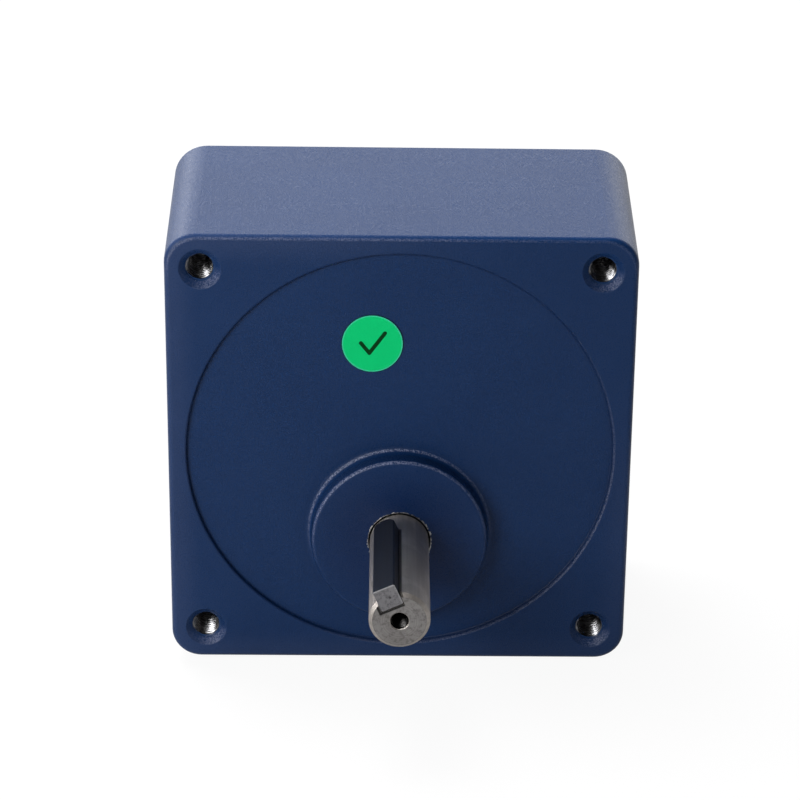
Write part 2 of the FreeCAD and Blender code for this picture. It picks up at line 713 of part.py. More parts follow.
def ball_bearing(side, bore, front, closure):
    """Rings, balls, cage and closures of a deep-groove ball bearing whose front face is at a height."""
    size = f"dims.{side}"
    outer = f"({size}_bearing_od / 2)"
    inner = f"({bore} / 2)"
    pitch = f"(({outer} + {inner}) / 2)"
    rear = f"({front} - {size}_bearing_width)"
    middle = f"({front} - {size}_bearing_width / 2)"
    ball = f"({size}_ball_dia / 2)"
    count = int(value(f"{size}_ball_count"))
    race = f"{ball} + dims.ball_play"
    outer_land = f"({pitch} + {size}_land)"
    inner_land = f"({pitch} - {size}_land)"

    ring = turned(f"{side}_outer", tube_profile(outer_land, outer, rear, front, outer_edge="dims.ring_edge"))
    add_race(ring, f"{side}_outer_race", pitch, middle, race)
    stand(ring, f"{side}_bearing_outer_ring", OUTPUT_AXIS)
    ring = turned(f"{side}_inner", tube_profile(inner, inner_land, rear, front, inner_edge="dims.ring_edge"))
    add_race(ring, f"{side}_inner_race", pitch, middle, race)
    stand(ring, f"{side}_bearing_inner_ring", OUTPUT_AXIS, "dims.key_angle")

    balls = ball_circle(f"{side}_ball", count, ball, pitch, middle)
    stand(group(f"{side}_balls", balls), f"{side}_bearing_balls", OUTPUT_AXIS)

    pocket = f"({ball} + dims.pocket_play)"
    half = f"({pocket} + {size}_cage_bridge)"
    cage = turned(f"{side}_cage", tube_profile(
        f"({pitch} - {size}_cage_wall / 2)", f"({pitch} + {size}_cage_wall / 2)",
        f"({middle} - {half})", f"({middle} + {half})",
    ))
    window = sketch_on(cage, "XZ_Plane", f"{side}_cage_window")
    draw_circle(window, ("0", middle), pocket)
    drill = add_cut(cage, "PartDesign::Pocket", window, "Length", outer)
    repeat_round(cage, drill, (window, ["V_Axis"]), count)
    stand(cage, f"{side}_bearing_cage", OUTPUT_AXIS)

    rings = []
    gap = f"({inner_land} + dims.closure_gap)"
    for name, low in (
        ("front", f"({front} - dims.closure_inset - {size}_closure)"),
        ("rear", f"({rear} + dims.closure_inset)"),
    ):
        high = f"({low} + {size}_closure)"
        rings.append(turned(f"{side}_{closure}_{name}", tube_profile(gap, outer_land, low, high)))
    stand(group(f"{side}_{closure}", rings), f"{side}_bearing_{closure}", OUTPUT_AXIS)


def add_race(ring, name, pitch, middle, radius):
    """The round groove that the balls run in."""
    sketch = sketch_on(ring, "XZ_Plane", name)
    draw_circle(sketch, (pitch, middle), radius)
    add_cut(ring, "PartDesign::Groove", sketch, "Angle", str(FULL_TURN))


def ball_circle(name, count, radius, pitch, height):
    """Balls spaced evenly on the pitch circle, the first one straight up."""
    balls = []
    for turn in range(count):
        ball = doc.addObject("Part::Sphere", f"{name}_{turn}")
        ball.setExpression("Radius", radius)
        moved(ball, polar(pitch, str(QUARTER_TURN + turn * FULL_TURN / count)))
        ball.setExpression(".Placement.Base.z", height)
        balls.append(ball)
    return balls


def key_outline(half_width, open_end, round_end):
    """Corners and arc centre of a key or keyway that is square at one end and round at the other."""
    centre = f"({round_end} + {half_width})"
    corners = [
        (f"-{half_width}", open_end), (f"-{half_width}", centre),
        (half_width, centre), (half_width, open_end),
    ]
    return corners, {1: ("0", centre)}


def cut_keyway(body, name, outline, floor):
    """Mill a keyway outward from its floor, which lies above the axis by the floor's radius."""
    sketch = sketch_on(body, "XZ_Plane", name, f"-{floor}")
    draw_outline(sketch, *outline)
    add_cut(body, "PartDesign::Pocket", sketch, "Length", "dims.key_height")


def make_output_shaft():
    """The stepped output shaft with its keyways, ring groove and tapped end."""
    radius = "(dims.shaft_dia / 2)"
    chamfer = "dims.shaft_chamfer"
    seat = "(dims.gear_seat_dia / 2)"
    groove = f"({seat} - dims.circlip_seat)"
    tail = "(dims.tail_dia / 2)"
    tail_front = f"({PLATE_FRONT} + dims.tail_length)"
    journal = "(dims.tail_journal_dia / 2)"
    end = f"({PLATE_FRONT} - dims.rear_bearing_width)"
    profile = [
        ("0", TIP), ("0", end),
        (f"{journal} - dims.end_chamfer", end), (journal, f"{end} + dims.end_chamfer"),
        (journal, PLATE_FRONT), (tail, PLATE_FRONT),
        (tail, tail_front), (seat, tail_front),
        (seat, CIRCLIP_REAR), (groove, CIRCLIP_REAR), (groove, OUTPUT_REAR), (seat, OUTPUT_REAR),
        (seat, OUTPUT_FRONT), ("dims.collar_dia / 2", OUTPUT_FRONT),
        ("dims.collar_dia / 2", BEARING_REAR), (radius, BEARING_REAR),
        (radius, f"{TIP} - {chamfer}"), (f"{radius} - {chamfer}", TIP),
    ]
    body = turned("output_shaft", profile)
    half = "(dims.key_width / 2)"
    outline = key_outline(half, TIP, KEY_END)
    cut_keyway(body, "tip_keyway", outline, KEY_FLOOR)
    cut_keyway(body, "gear_keyway", gear_key_outline("0"), GEAR_KEY_FLOOR)
    hole_sketch = sketch_on(body, "XY_Plane", "tip_centre", TIP)
    draw_circle(hole_sketch, MOTOR_AXIS, "dims.tip_thread / 2")
    add_cut(body, "PartDesign::Pocket", hole_sketch, "Length", "dims.tip_depth")
    dress(body, "PartDesign::Chamfer", "tip_mouth", "Size", "(dims.tip_sink - dims.tip_thread) / 2",
          circle_at(MOTOR_AXIS, "dims.tip_thread / 2", TIP))
    stand(body, "output_shaft", OUTPUT_AXIS, "dims.key_angle")


def gear_key_outline(play):
    """Outline of the key between output shaft and output gear, smaller all round by the play."""
    half = f"(dims.key_width / 2 - {play})"
    middle = f"(({OUTPUT_FRONT} + {OUTPUT_REAR}) / 2)"
    high = f"({middle} + dims.gear_key_length / 2 - {play})"
    low = f"({middle} - dims.gear_key_length / 2 + {play})"
    return [(f"-{half}", high), (f"-{half}", low), (half, low), (half, high)], None


def make_key(name, outline, floor):
    """A parallel key with broken long edges, just clear of the floor of its keyway."""
    body = doc.addObject("PartDesign::Body", name)
    sketch = sketch_on(body, "XZ_Plane", name + "_outline", f"-({floor} + dims.key_lift)")
    draw_outline(sketch, *outline)
    add_pad(body, sketch, "dims.key_height - dims.key_lift", inward=True)
    levels = [value(f"{floor} + dims.key_lift"), value(f"{floor} + dims.key_height")]

    def long_edge(edge):
        box = edge.BoundBox
        level = any(abs(box.YMin - y) < NEAR and abs(box.YMax - y) < NEAR for y in levels)
        return level and box.XLength < NEAR

    dress(body, "PartDesign::Chamfer", name + "_edges", "Size", "dims.key_edge", long_edge)
    stand(body, name, OUTPUT_AXIS, "dims.key_angle")


def make_output_keys():
    """The key on the output shaft's end and the key that drives it from the output gear."""
    play = "dims.key_play"
    half = f"(dims.key_width / 2 - {play})"
    make_key("output_key", key_outline(half, TIP, f"({KEY_END} + {play})"), KEY_FLOOR)
    make_key("output_gear_key", gear_key_outline(play), GEAR_KEY_FLOOR)


def make_output_gear():
    """The large gear on the output shaft, with a keyway through its bore."""
    toward_second = f"{QUARTER_TURN} - dims.second_angle"
    phase = f"{toward_second} + {HALF_TURN} / dims.output_teeth - dims.key_angle"
    teeth = spur_teeth("output_teeth_bar", "dims.output_module", "dims.output_teeth", "dims.output_shift",
                       phase, OUTPUT_REAR, OUTPUT_FRONT)
    root = f"(dims.output_module * (dims.output_teeth / 2 - {DEDENDUM} + dims.output_shift))"
    seat = "(dims.gear_seat_dia / 2)"
    hollows = gear_hollows("output_gear", seat, root, "dims.output_web", OUTPUT_REAR, OUTPUT_FRONT)
    slot = doc.addObject("Part::Box", "output_hub_slot")
    slot.setExpression("Length", "dims.key_width")
    slot.setExpression("Width", f"{seat} + dims.hub_slot")
    slot.setExpression("Height", f"{OUTPUT_FRONT} - {OUTPUT_REAR}")
    moved(slot, ("-dims.key_width / 2", "0"))
    slot.setExpression(".Placement.Base.z", OUTPUT_REAR)
    tool = union("output_gear_hollows", hollows + [slot])
    stand(difference("output_gear", teeth, tool), "output_gear", OUTPUT_AXIS, "dims.key_angle")


def make_circlip():
    """The open retaining ring with an ear and a plier hole at each end."""
    body = doc.addObject("PartDesign::Body", "output_circlip")
    inner = "(dims.gear_seat_dia / 2 - dims.circlip_seat + dims.circlip_play)"
    outer = f"({inner} + dims.circlip_width)"
    low = f"({CIRCLIP_REAR} + dims.circlip_play / 2)"
    start = f"({DOWN_ANGLE} + dims.circlip_gap_angle / 2)"
    stop = f"({DOWN_ANGLE} - dims.circlip_gap_angle / 2)"
    ring = sketch_on(body, "XY_Plane", "circlip_ring", low)
    corners = [polar(outer, start), polar(outer, stop), polar(inner, stop), polar(inner, start)]
    draw_ring_sector(ring, corners)
    add_pad(body, ring, "dims.circlip_thickness")
    ear_circle = f"({inner} + dims.circlip_ear_dia / 2)"
    places = [polar(ear_circle, start), polar(ear_circle, stop)]
    ears = sketch_on(body, "XY_Plane", "circlip_ears", low)
    for place in places:
        draw_circle(ears, place, "dims.circlip_ear_dia / 2")
    add_pad(body, ears, "dims.circlip_thickness")
    for side, place in enumerate(places):
        top = f"({low} + dims.circlip_thickness)"
        bore_from_rear(body, f"circlip_ear_hole_{side}", place, "dims.circlip_ear_hole / 2", low, top)
    stand(body, "output_circlip", OUTPUT_AXIS)


def draw_ring_sector(sketch, corners):
    """A ring open over its gap: outer arc, end, inner arc back again, end."""
    outer_start, outer_stop, inner_stop, inner_start = [Vector(value(x), value(y), 0) for x, y in corners]
    for start, stop in ((outer_start, outer_stop), (inner_start, inner_stop)):
        circle = Part.Circle(Vector(), OUTWARD, start.Length)
        sketch.addGeometry(Part.ArcOfCircle(circle, math.atan2(start.y, start.x), math.atan2(stop.y, stop.x)))
    sketch.addGeometry(Part.LineSegment(outer_start, inner_start))
    sketch.addGeometry(Part.LineSegment(outer_stop, inner_stop))
    outer_arc, inner_arc, start_line, stop_line = range(len(corners))
    for line, arc_end in ((start_line, START), (stop_line, END)):
        for end, arc in ((START, outer_arc), (END, inner_arc)):
            sketch.addConstraint(Sketcher.Constraint("Coincident", line, end, arc, arc_end))
    for arc, places in ((outer_arc, (corners[0], corners[1])), (inner_arc, (corners[3], corners[2]))):
        for end, (x, y) in zip((START, END), places):
            hold(sketch, "DistanceX", arc, end, x)
            hold(sketch, "DistanceY", arc, end, y)
        hold(sketch, "DistanceY", arc, CENTRE, "0")


def make_second_shaft():
    """The second shaft with its pinion cut on it, and the second gear pressed on behind the pinion."""
    toward_output = f"({DOWN_ANGLE} - dims.second_angle)"
    pinion = spur_teeth("second_pinion_bar", "dims.output_module", "dims.second_pinion_teeth",
                        "dims.second_pinion_shift", toward_output, SECOND_FRONT, PIN_SHOULDER)
    bar = pin_shaft("second_bar", "dims.second_seat_dia", SECOND_FRONT, SECOND_REAR)
    stand(union("second_pinion_shaft", [bar, pinion]), "second_pinion_shaft", SECOND_AXIS)
    phase = f"dims.first_angle + {HALF_TURN} / dims.second_teeth"
    teeth = spur_teeth("second_teeth_bar", "dims.second_module", "dims.second_teeth", "dims.second_shift",
                       phase, SECOND_REAR, SECOND_FRONT)
    root = f"(dims.second_module * (dims.second_teeth / 2 - {DEDENDUM} + dims.second_shift))"
    hollows = gear_hollows("second_gear", "(dims.second_seat_dia / 2)", root, "dims.second_web",
                           SECOND_REAR, SECOND_FRONT)
    tool = union("second_gear_hollows", hollows)
    stand(difference("second_gear", teeth, tool), "second_gear", SECOND_AXIS)


def make_first_shaft():
    """The first shaft with its pinion cut on it, and the helical gear that the motor's pinion drives."""
    toward_second = f"(dims.first_angle + {HALF_TURN})"
    pinion_front = f"({SECOND_FRONT} + dims.layer_gap / 2)"
    pinion = spur_teeth("first_pinion_bar", "dims.second_module", "dims.first_pinion_teeth",
                        "dims.first_pinion_shift", toward_second, FIRST_FRONT, pinion_front)
    bar = pin_shaft("first_bar", "dims.first_seat_dia", FIRST_FRONT, FIRST_REAR)
    stand(union("first_pinion_shaft", [bar, pinion]), "first_pinion_shaft", FIRST_AXIS)
    teeth = helical_teeth("first_teeth_bar", FIRST_REAR, FIRST_FRONT)
    root = f"(dims.first_module / cos(dims.first_helix) * (dims.first_teeth / 2 - {DEDENDUM}))"
    hollows = gear_hollows("first_gear", "(dims.first_seat_dia / 2)", root, "dims.first_web",
                           FIRST_REAR, FIRST_FRONT)
    tool = union("first_gear_hollows", hollows)
    stand(difference("first_gear", teeth, tool), "first_gear", FIRST_AXIS)


def pin_shaft(name, seat_dia, seat_front, seat_rear):
    """A shaft with a thin pin at each end, a shank and a seat that a gear is pressed on."""
    pin = "(dims.pin_dia / 2 - dims.bush_play)"
    shank = "(dims.shank_dia / 2)"
    seat = f"({seat_dia} / 2)"
    front_end = f"({PAD_FACE} + dims.bush_length - dims.end_play)"
    rear_end = PLATE_REAR
    return turned(name, [
        ("0", front_end), ("0", rear_end),
        (f"{pin} - dims.end_chamfer", rear_end), (pin, f"{rear_end} + dims.end_chamfer"),
        (pin, REAR_SHOULDER), (shank, REAR_SHOULDER),
        (shank, seat_rear), (seat, seat_rear),
        (seat, seat_front), (shank, seat_front),
        (shank, PIN_SHOULDER), (pin, PIN_SHOULDER),
        (pin, f"{front_end} - dims.end_chamfer"), (f"{pin} - dims.end_chamfer", front_end),
    ])


def make_bushes():
    """A bush in the housing and one in the plate for each of the two shafts, with their thrust washers."""
    bore = "(dims.pin_dia / 2)"
    outer = "(dims.bush_od / 2)"
    shim_bore = f"({bore} + dims.shim_play)"
    shim_outer = "(dims.shim_od / 2)"
    spans = {
        "front": (PAD_FACE, f"({PAD_FACE} + dims.bush_length)", f"({PAD_FACE} - dims.shim_thickness)"),
        "rear": (PLATE_REAR, PLATE_FRONT, PLATE_FRONT),
    }
    for shaft, axis in (("first", FIRST_AXIS), ("second", SECOND_AXIS)):
        for end, (low, high, shim_low) in spans.items():
            name = f"{shaft}_{end}"
            bush = turned(f"{name}_bush", tube_profile(bore, outer, low, high, inner_edge="dims.bush_edge"))
            stand(bush, f"{name}_bush", axis)
            shim_high = f"({shim_low} + dims.shim_thickness)"
            shim = turned(f"{name}_shim", tube_profile(shim_bore, shim_outer, shim_low, shim_high))
            stand(shim, f"{name}_shim", axis)


def make_sticker():
    """The thin round sticker on the floor of the front recess."""
    low = "(-dims.recess_depth)"
    radius = "(dims.sticker_dia / 2)"
    high = f"({low} + dims.sticker_thickness)"
    disc = turned("inspection_sticker", [("0", low), (radius, low), (radius, high), ("0", high)])
    stand(disc, "inspection_sticker", ("dims.sticker_x", "dims.sticker_up"))


def check_and_export():
    """Stop on any failed object or bad solid, then write one file per piece."""
    doc.recompute()
    for item in doc.Objects:
        if "Invalid" in item.State or "Error" in item.State:
            raise RuntimeError(f"{item.Name} failed: {item.State}")
    for piece in pieces:
        if piece.Shape.isNull() or not piece.Shape.isValid() or not piece.Shape.Solids:
            raise RuntimeError(f"{piece.Label} has no valid solid")
    os.makedirs("parts", exist_ok=True)
    for piece in pieces:
        piece.Shape.exportStep(f"parts/{piece.Label}.step")


SCREW_PLACES = [
    polar(POST_CIRCLE, f"dims.screw_angle_{side}") for side in ("top", "left", "right")
]
DOWEL_PLACES = [
    polar(POST_CIRCLE, f"dims.dowel_angle_{side}") for side in ("upper", "lower")
]
KEY_END = "(dims.boss_height + dims.key_setback)"
KEY_FLOOR = "(dims.shaft_dia / 2 - dims.key_seat)"
GEAR_KEY_FLOOR = "(dims.gear_seat_dia / 2 - dims.key_seat)"

make_housing()
make_gear_plate()
make_plate_fixings()
ball_bearing("front", "dims.shaft_dia", BEARING_FRONT, "seals")
ball_bearing("rear", "dims.tail_journal_dia", PLATE_FRONT, "shields")
make_output_shaft()
make_output_keys()
make_output_gear()
make_circlip()
make_second_shaft()
make_first_shaft()
make_bushes()
make_sticker()
check_and_export()
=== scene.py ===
import json
import math
from functools import reduce

import bmesh
import bpy
import numpy as np
from mathutils import Matrix, Vector


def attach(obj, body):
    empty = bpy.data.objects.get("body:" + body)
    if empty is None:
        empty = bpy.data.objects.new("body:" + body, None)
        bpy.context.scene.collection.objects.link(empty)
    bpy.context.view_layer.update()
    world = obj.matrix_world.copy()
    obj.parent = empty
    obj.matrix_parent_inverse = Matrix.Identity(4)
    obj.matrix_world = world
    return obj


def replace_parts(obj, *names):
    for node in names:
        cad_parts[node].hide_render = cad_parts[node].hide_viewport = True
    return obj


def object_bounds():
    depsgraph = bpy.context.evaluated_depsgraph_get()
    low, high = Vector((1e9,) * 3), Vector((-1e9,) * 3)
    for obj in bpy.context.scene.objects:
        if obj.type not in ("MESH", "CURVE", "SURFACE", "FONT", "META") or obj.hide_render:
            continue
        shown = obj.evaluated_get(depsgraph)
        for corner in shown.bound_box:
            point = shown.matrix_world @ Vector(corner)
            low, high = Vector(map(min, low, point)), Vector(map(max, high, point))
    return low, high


# A square blue gearhead: the powder-coated casting, its bare and threaded holes, the turned and keyed
# output shaft, the round green sticker, and the aluminium plate with its screws at the motor side.
# The frame is in metres, with the front mounting face at y = 0 and the shaft pointing to -Y.

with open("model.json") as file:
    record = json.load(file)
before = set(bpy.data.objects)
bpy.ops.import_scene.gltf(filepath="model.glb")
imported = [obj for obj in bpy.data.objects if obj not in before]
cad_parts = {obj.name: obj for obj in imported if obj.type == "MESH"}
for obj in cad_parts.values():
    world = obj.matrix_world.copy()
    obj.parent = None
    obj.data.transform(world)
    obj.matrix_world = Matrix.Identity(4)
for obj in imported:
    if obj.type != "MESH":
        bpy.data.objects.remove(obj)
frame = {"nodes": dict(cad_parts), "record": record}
cad_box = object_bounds()
nodes = frame["nodes"]
slot_of = {part["node"]: part["material_slot"] for part in frame["record"]["subparts"]}

MM = 0.001
FULL_TURN = 2 * math.pi

# Sizes of the casting and shaft, and of their threads, screws and sticker
SHAFT_UP = -15.0 * MM
SHAFT_TIP = -31.6 * MM
KEY_TURN = math.radians(24.5)
KEY_REAR = -8.4 * MM
BORE_RIM = 5.48 * MM
BOSS_FACE = -2.9 * MM
BOSS_EDGE = 14.66 * MM
BOSS_FOOT = 15.5 * MM
FRONT_HALF = 39.12 * MM
FRONT_CORNER = 5.9 * MM
HOLE_CIRCLE = 94.0 * MM
CORNER_HOLE = HOLE_CIRCLE / 2 / math.sqrt(2)
HOLE_RADIUS = 2.5 * MM
SINK_RADIUS = 3.5 * MM
HOLE_CREST = 2.07 * MM
HOLE_PITCH = 0.8 * MM
HOLE_MOUTH = 1.0 * MM
HOLE_SPRAY = 1.38 * MM
HOLE_END = 14.0 * MM
CASE_DEPTH = 42.0 * MM
FRONT_WALL = 5.0 * MM
REGISTER_RADIUS = 36.5 * MM
TIP_RADIUS = 1.5 * MM
TIP_CREST = 1.27 * MM
TIP_PITCH = 0.5 * MM
TIP_MOUTH = 0.16 * MM
TIP_END = 8.9 * MM
PLATE_REAR = 38.3 * MM
SCREW_CIRCLE = 30.5 * MM
SCREW_ANGLES = (57.0, 180.0, 325.0)
SCREW_TURNS = (0.3, 1.1, 0.75)
STICKER_X = -4.8 * MM
STICKER_Z = 19.9 * MM
STICKER_RADIUS = 5.15 * MM
RECESS_FLOOR = 0.8 * MM
RECESS_RADIUS = 36.0 * MM

# Camera that was fitted to the photograph
LENS = 136.0
SENSOR = 36.0
SIDE_SHIFT = -0.075
CAMERA_PLACE = Vector((-2.929, -462.558, 216.116)) * MM
CAMERA_ANGLES = (1.5945, 23.9999, 1.1014)
CLIP_NEAR = 0.01
CLIP_FAR = 20.0

# Shares and spans that several finishes use
FADE = (1.0, 0.0)
TONE_SPAN = (0.3, 0.7)
EVEN_LINES = (1.0, 1.0, 1.0)
BAND_CORE = 0.4
NOISE_MIDDLE = 0.5
WHITE_STRENGTH = 1.0


# Node helpers

def add(tree, kind, inputs=None, **settings):
    """Add a node, set its settings, then fill or link its inputs by name or number."""
    node = tree.nodes.new(kind)
    for name, setting in settings.items():
        setattr(node, name, setting)
    for name, given in (inputs or {}).items():
        if isinstance(given, bpy.types.NodeSocket):
            tree.links.new(given, node.inputs[name])
        else:
            node.inputs[name].default_value = given
    return node


def calc(tree, operation, *values, clamp=False):
    """One sum, product or other piece of arithmetic."""
    node = add(tree, "ShaderNodeMath", dict(enumerate(values)), operation=operation, use_clamp=clamp)
    return node.outputs[0]


def fold(tree, operation, values):
    """One operation carried through a list of values, from the first to the last."""
    return reduce(lambda so_far, value: calc(tree, operation, so_far, value), values)


def product(tree, *values):
    """All the values multiplied."""
    return fold(tree, "MULTIPLY", values)


def total(tree, *values):
    """All the values added."""
    return fold(tree, "ADD", values)


def largest(tree, *values):
    """The largest of the values."""
    return fold(tree, "MAXIMUM", values)


def weighted(tree, *pairs):
    """Sum of values, each times its weight."""
    return total(tree, *[product(tree, value, weight) for value, weight in pairs])


def minus(tree, value, taken):
    """One value less another."""
    return calc(tree, "SUBTRACT", value, taken)


def below(tree, value, limit):
    """One where the value is below the limit, otherwise nothing."""
    return calc(tree, "LESS_THAN", value, limit)


def above(tree, value, limit):
    """One where the value is above the limit, otherwise nothing."""
    return calc(tree, "GREATER_THAN", value, limit)


def ramp(tree, value, span, shares=(0.0, 1.0)):
    """Smooth change from the first share to the second while the value crosses the span."""
    given = {"Value": value, "From Min": span[0], "From Max": span[1],
             "To Min": shares[0], "To Max": shares[1]}
    return add(tree, "ShaderNodeMapRange", given, interpolation_type="SMOOTHSTEP").outputs["Result"]


def tint(tree, share, first, second):
    """Mix of two colours by a share."""
    return add(tree, "ShaderNodeMix", {0: share, 6: first, 7: second}, data_type="RGBA").outputs[2]


def level(tree, share, first, second):
    """Mix of two numbers by a share."""
    return add(tree, "ShaderNodeMix", {0: share, 2: first, 3: second}, data_type="FLOAT").outputs[0]


def noise(tree, where, scale, detail=2.0, rough=0.5):
    """Cloudy noise between 0 and 1 at a place."""
    given = {"Vector": where, "Scale": scale, "Detail": detail, "Roughness": rough}
    return add(tree, "ShaderNodeTexNoise", given).outputs[0]


def rgb(red, green, blue):
    """A colour with full alpha."""
    return (red, green, blue, 1.0)


# Effects that several finishes share

def new_effect(name, inputs, outputs):
    """An empty node group with its named sockets: Place and Stretch are vectors, the others numbers."""
    group = bpy.data.node_groups.new(name, "ShaderNodeTree")
    for socket in inputs:
        kind = "NodeSocketVector" if socket in ("Place", "Stretch") else "NodeSocketFloat"
        group.interface.new_socket(socket, in_out="INPUT", socket_type=kind)
    for socket in outputs:
        group.interface.new_socket(socket, in_out="OUTPUT", socket_type="NodeSocketFloat")
    return group, group.nodes.new("NodeGroupInput").outputs, group.nodes.new("NodeGroupOutput").inputs


def powder_grain_effect():
    """Grain of a baked powder coat: fine bumps on a soft orange-peel swell, with paler flecks on crests."""
    swell_scale, cloud_scale = 0.28, 0.012
    fine_height, swell_height = 0.75, 0.11
    crest_span = (0.5, 0.62)
    group, given, gives = new_effect("powder_grain", ["Place", "Scale"], ["Height", "Fleck", "Cloud"])
    place, scale = given["Place"], given["Scale"]
    fine = noise(group, place, scale, detail=3.0, rough=0.6)
    swell = noise(group, place, product(group, scale, swell_scale), detail=1.0)
    cloud = noise(group, place, product(group, scale, cloud_scale), detail=3.0)
    group.links.new(weighted(group, (fine, fine_height), (swell, swell_height)), gives["Height"])
    group.links.new(ramp(group, fine, crest_span), gives["Fleck"])
    group.links.new(ramp(group, cloud, TONE_SPAN), gives["Cloud"])
    return group


def turning_rings_effect():
    """Rings that a lathe leaves round the Y axis through zero: noise of the radius alone, and a tone of those
    rings with slow clouds over them."""
    flatten = (1.0, 0.0, 1.0)
    wander_scale = 0.12
    ring_share, wander_share = 0.7, 0.3
    group, given, gives = new_effect("turning_rings", ["Place", "Scale"], ["Height", "Tone"])
    place, scale = given["Place"], given["Scale"]
    flat = add(group, "ShaderNodeVectorMath", {0: place, 1: flatten}, operation="MULTIPLY").outputs[0]
    radius = add(group, "ShaderNodeVectorMath", {0: flat}, operation="LENGTH").outputs["Value"]
    look = {"W": product(group, radius, scale), "Scale": 1.0, "Detail": 3.0}
    rings = add(group, "ShaderNodeTexNoise", look, noise_dimensions="1D").outputs[0]
    wander = noise(group, place, product(group, scale, wander_scale))
    group.links.new(rings, gives["Height"])
    group.links.new(weighted(group, (rings, ring_share), (wander, wander_share)), gives["Tone"])
    return group


def drawn_lines_effect():
    """Lines along one direction, as drawing, grinding or milling leaves them: noise times the Stretch."""
    spot_scale = 0.1
    line_share, spot_share = 0.6, 0.4
    group, given, gives = new_effect("drawn_lines", ["Place", "Stretch", "Scale"], ["Height", "Tone"])
    place, scale = given["Place"], given["Scale"]
    pulled = add(group, "ShaderNodeVectorMath", {0: place, 1: given["Stretch"]}, operation="MULTIPLY")
    lines = noise(group, pulled.outputs[0], scale, detail=4.0, rough=0.65)
    spots = noise(group, place, product(group, scale, spot_scale), detail=3.0)
    group.links.new(lines, gives["Height"])
    group.links.new(weighted(group, (lines, line_share), (spots, spot_share)), gives["Tone"])
    return group


def oil_film_effect():
    """Patches of thin oil or greasy film: soft clouds with a fine break-up at their edges."""
    patch_span = (0.42, 0.6)
    group, given, gives = new_effect("oil_film", ["Place", "Scale"], ["Film"])
    cloud = noise(group, given["Place"], given["Scale"], detail=4.0, rough=0.6)
    group.links.new(ramp(group, cloud, patch_span), gives["Film"])
    return group


POWDER_GRAIN = powder_grain_effect()
TURNING_RINGS = turning_rings_effect()
DRAWN_LINES = drawn_lines_effect()
OIL_FILM = oil_film_effect()


def effect(tree, group, **inputs):
    """Place a shared effect in a finish."""
    return add(tree, "ShaderNodeGroup", inputs, node_tree=group).outputs


# Parts of a finish

def new_finish(name, **constants):
    """A material with its shader; numbers that are the same all over go straight on the shader's sockets."""
    finish = bpy.data.materials.new(name)
    finish.use_nodes = True
    tree = finish.node_tree
    shader = tree.nodes["Principled BSDF"]
    for socket, number in constants.items():
        shader.inputs[socket.replace("_", " ")].default_value = number
    place = add(tree, "ShaderNodeTexCoord").outputs["Object"]
    return finish, tree, shader, place


def moved(tree, place, x=0.0, z=0.0):
    """Shift the pattern so that a point of the piece becomes its zero."""
    return add(tree, "ShaderNodeMapping", {"Vector": place, "Location": (-x, 0.0, -z)}).outputs[0]


def axes(tree, place):
    """The three coordinates of a place."""
    return add(tree, "ShaderNodeSeparateXYZ", {0: place}).outputs


def reach(tree, first, second):
    """Distance from zero in two coordinates."""
    return calc(tree, "SQRT", weighted(tree, (first, first), (second, second)))


def bump(tree, shader, height, strength, distance):
    """Raise the surface by a height map."""
    lift = add(tree, "ShaderNodeBump", {"Height": height, "Strength": strength, "Distance": distance})
    tree.links.new(lift.outputs[0], shader.inputs["Normal"])


def feed(tree, shader, **sources):
    """Link sources that change over the surface to the shader."""
    for socket, source in sources.items():
        tree.links.new(source, shader.inputs[socket.replace("_", " ")])


def band(tree, distance, middle, half_width):
    """One on a line at a given distance, fading to nothing at the half width."""
    away = calc(tree, "ABSOLUTE", minus(tree, distance, middle))
    return ramp(tree, away, (BAND_CORE * half_width, half_width), FADE)


def ragged(tree, place, width, scale, **look):
    """Uneven shift of an edge: noise about zero, times the width."""
    return product(tree, minus(tree, noise(tree, place, scale, **look), NOISE_MIDDLE), width)


# Blue paint of the casting

def outline_reach(tree, x, z):
    """Distance outwards from the square of the corners' centres: the corner radius on the outline."""
    inner = FRONT_HALF - FRONT_CORNER
    over = [minus(tree, calc(tree, "ABSOLUTE", side), inner) for side in (x, z)]
    return reach(tree, *[largest(tree, side, 0.0) for side in over])


def cut_metal(tree, place, from_bore, from_hole):
    """One where a cutter went through the paint: bore rim, corner holes, motor face and inside."""
    rim_ragged, rim_inset = 0.9 * MM, 0.04 * MM
    chip_ragged, chip_inset = 0.8 * MM, 0.1 * MM
    wall_inset, sink_room, face_room = 0.02 * MM, 0.1 * MM, 0.04 * MM
    room_front, room_side = 0.5 * MM, 0.35 * MM
    x, y, z = axes(tree, place)
    rim_edge = ragged(tree, place, rim_ragged, scale=2200.0)
    rim = below(tree, total(tree, from_bore, rim_edge), BORE_RIM - rim_inset)
    chip_edge = ragged(tree, place, chip_ragged, scale=2400.0, detail=3.0, rough=0.65)
    chips = below(tree, total(tree, from_hole, chip_edge), HOLE_RADIUS - chip_inset)
    hole_wall = below(tree, from_hole, HOLE_RADIUS - wall_inset)
    near_rear = above(tree, y, CASE_DEPTH - HOLE_MOUTH - sink_room)
    rear_sink = product(tree, below(tree, from_hole, SINK_RADIUS + sink_room), near_rear)
    in_register = below(tree, reach(tree, x, z), REGISTER_RADIUS + room_side)
    inside = product(tree, above(tree, y, FRONT_WALL - room_front), in_register)
    motor_face = above(tree, y, CASE_DEPTH - face_room)
    return largest(tree, rim, chips, hole_wall, inside, motor_face, rear_sink)


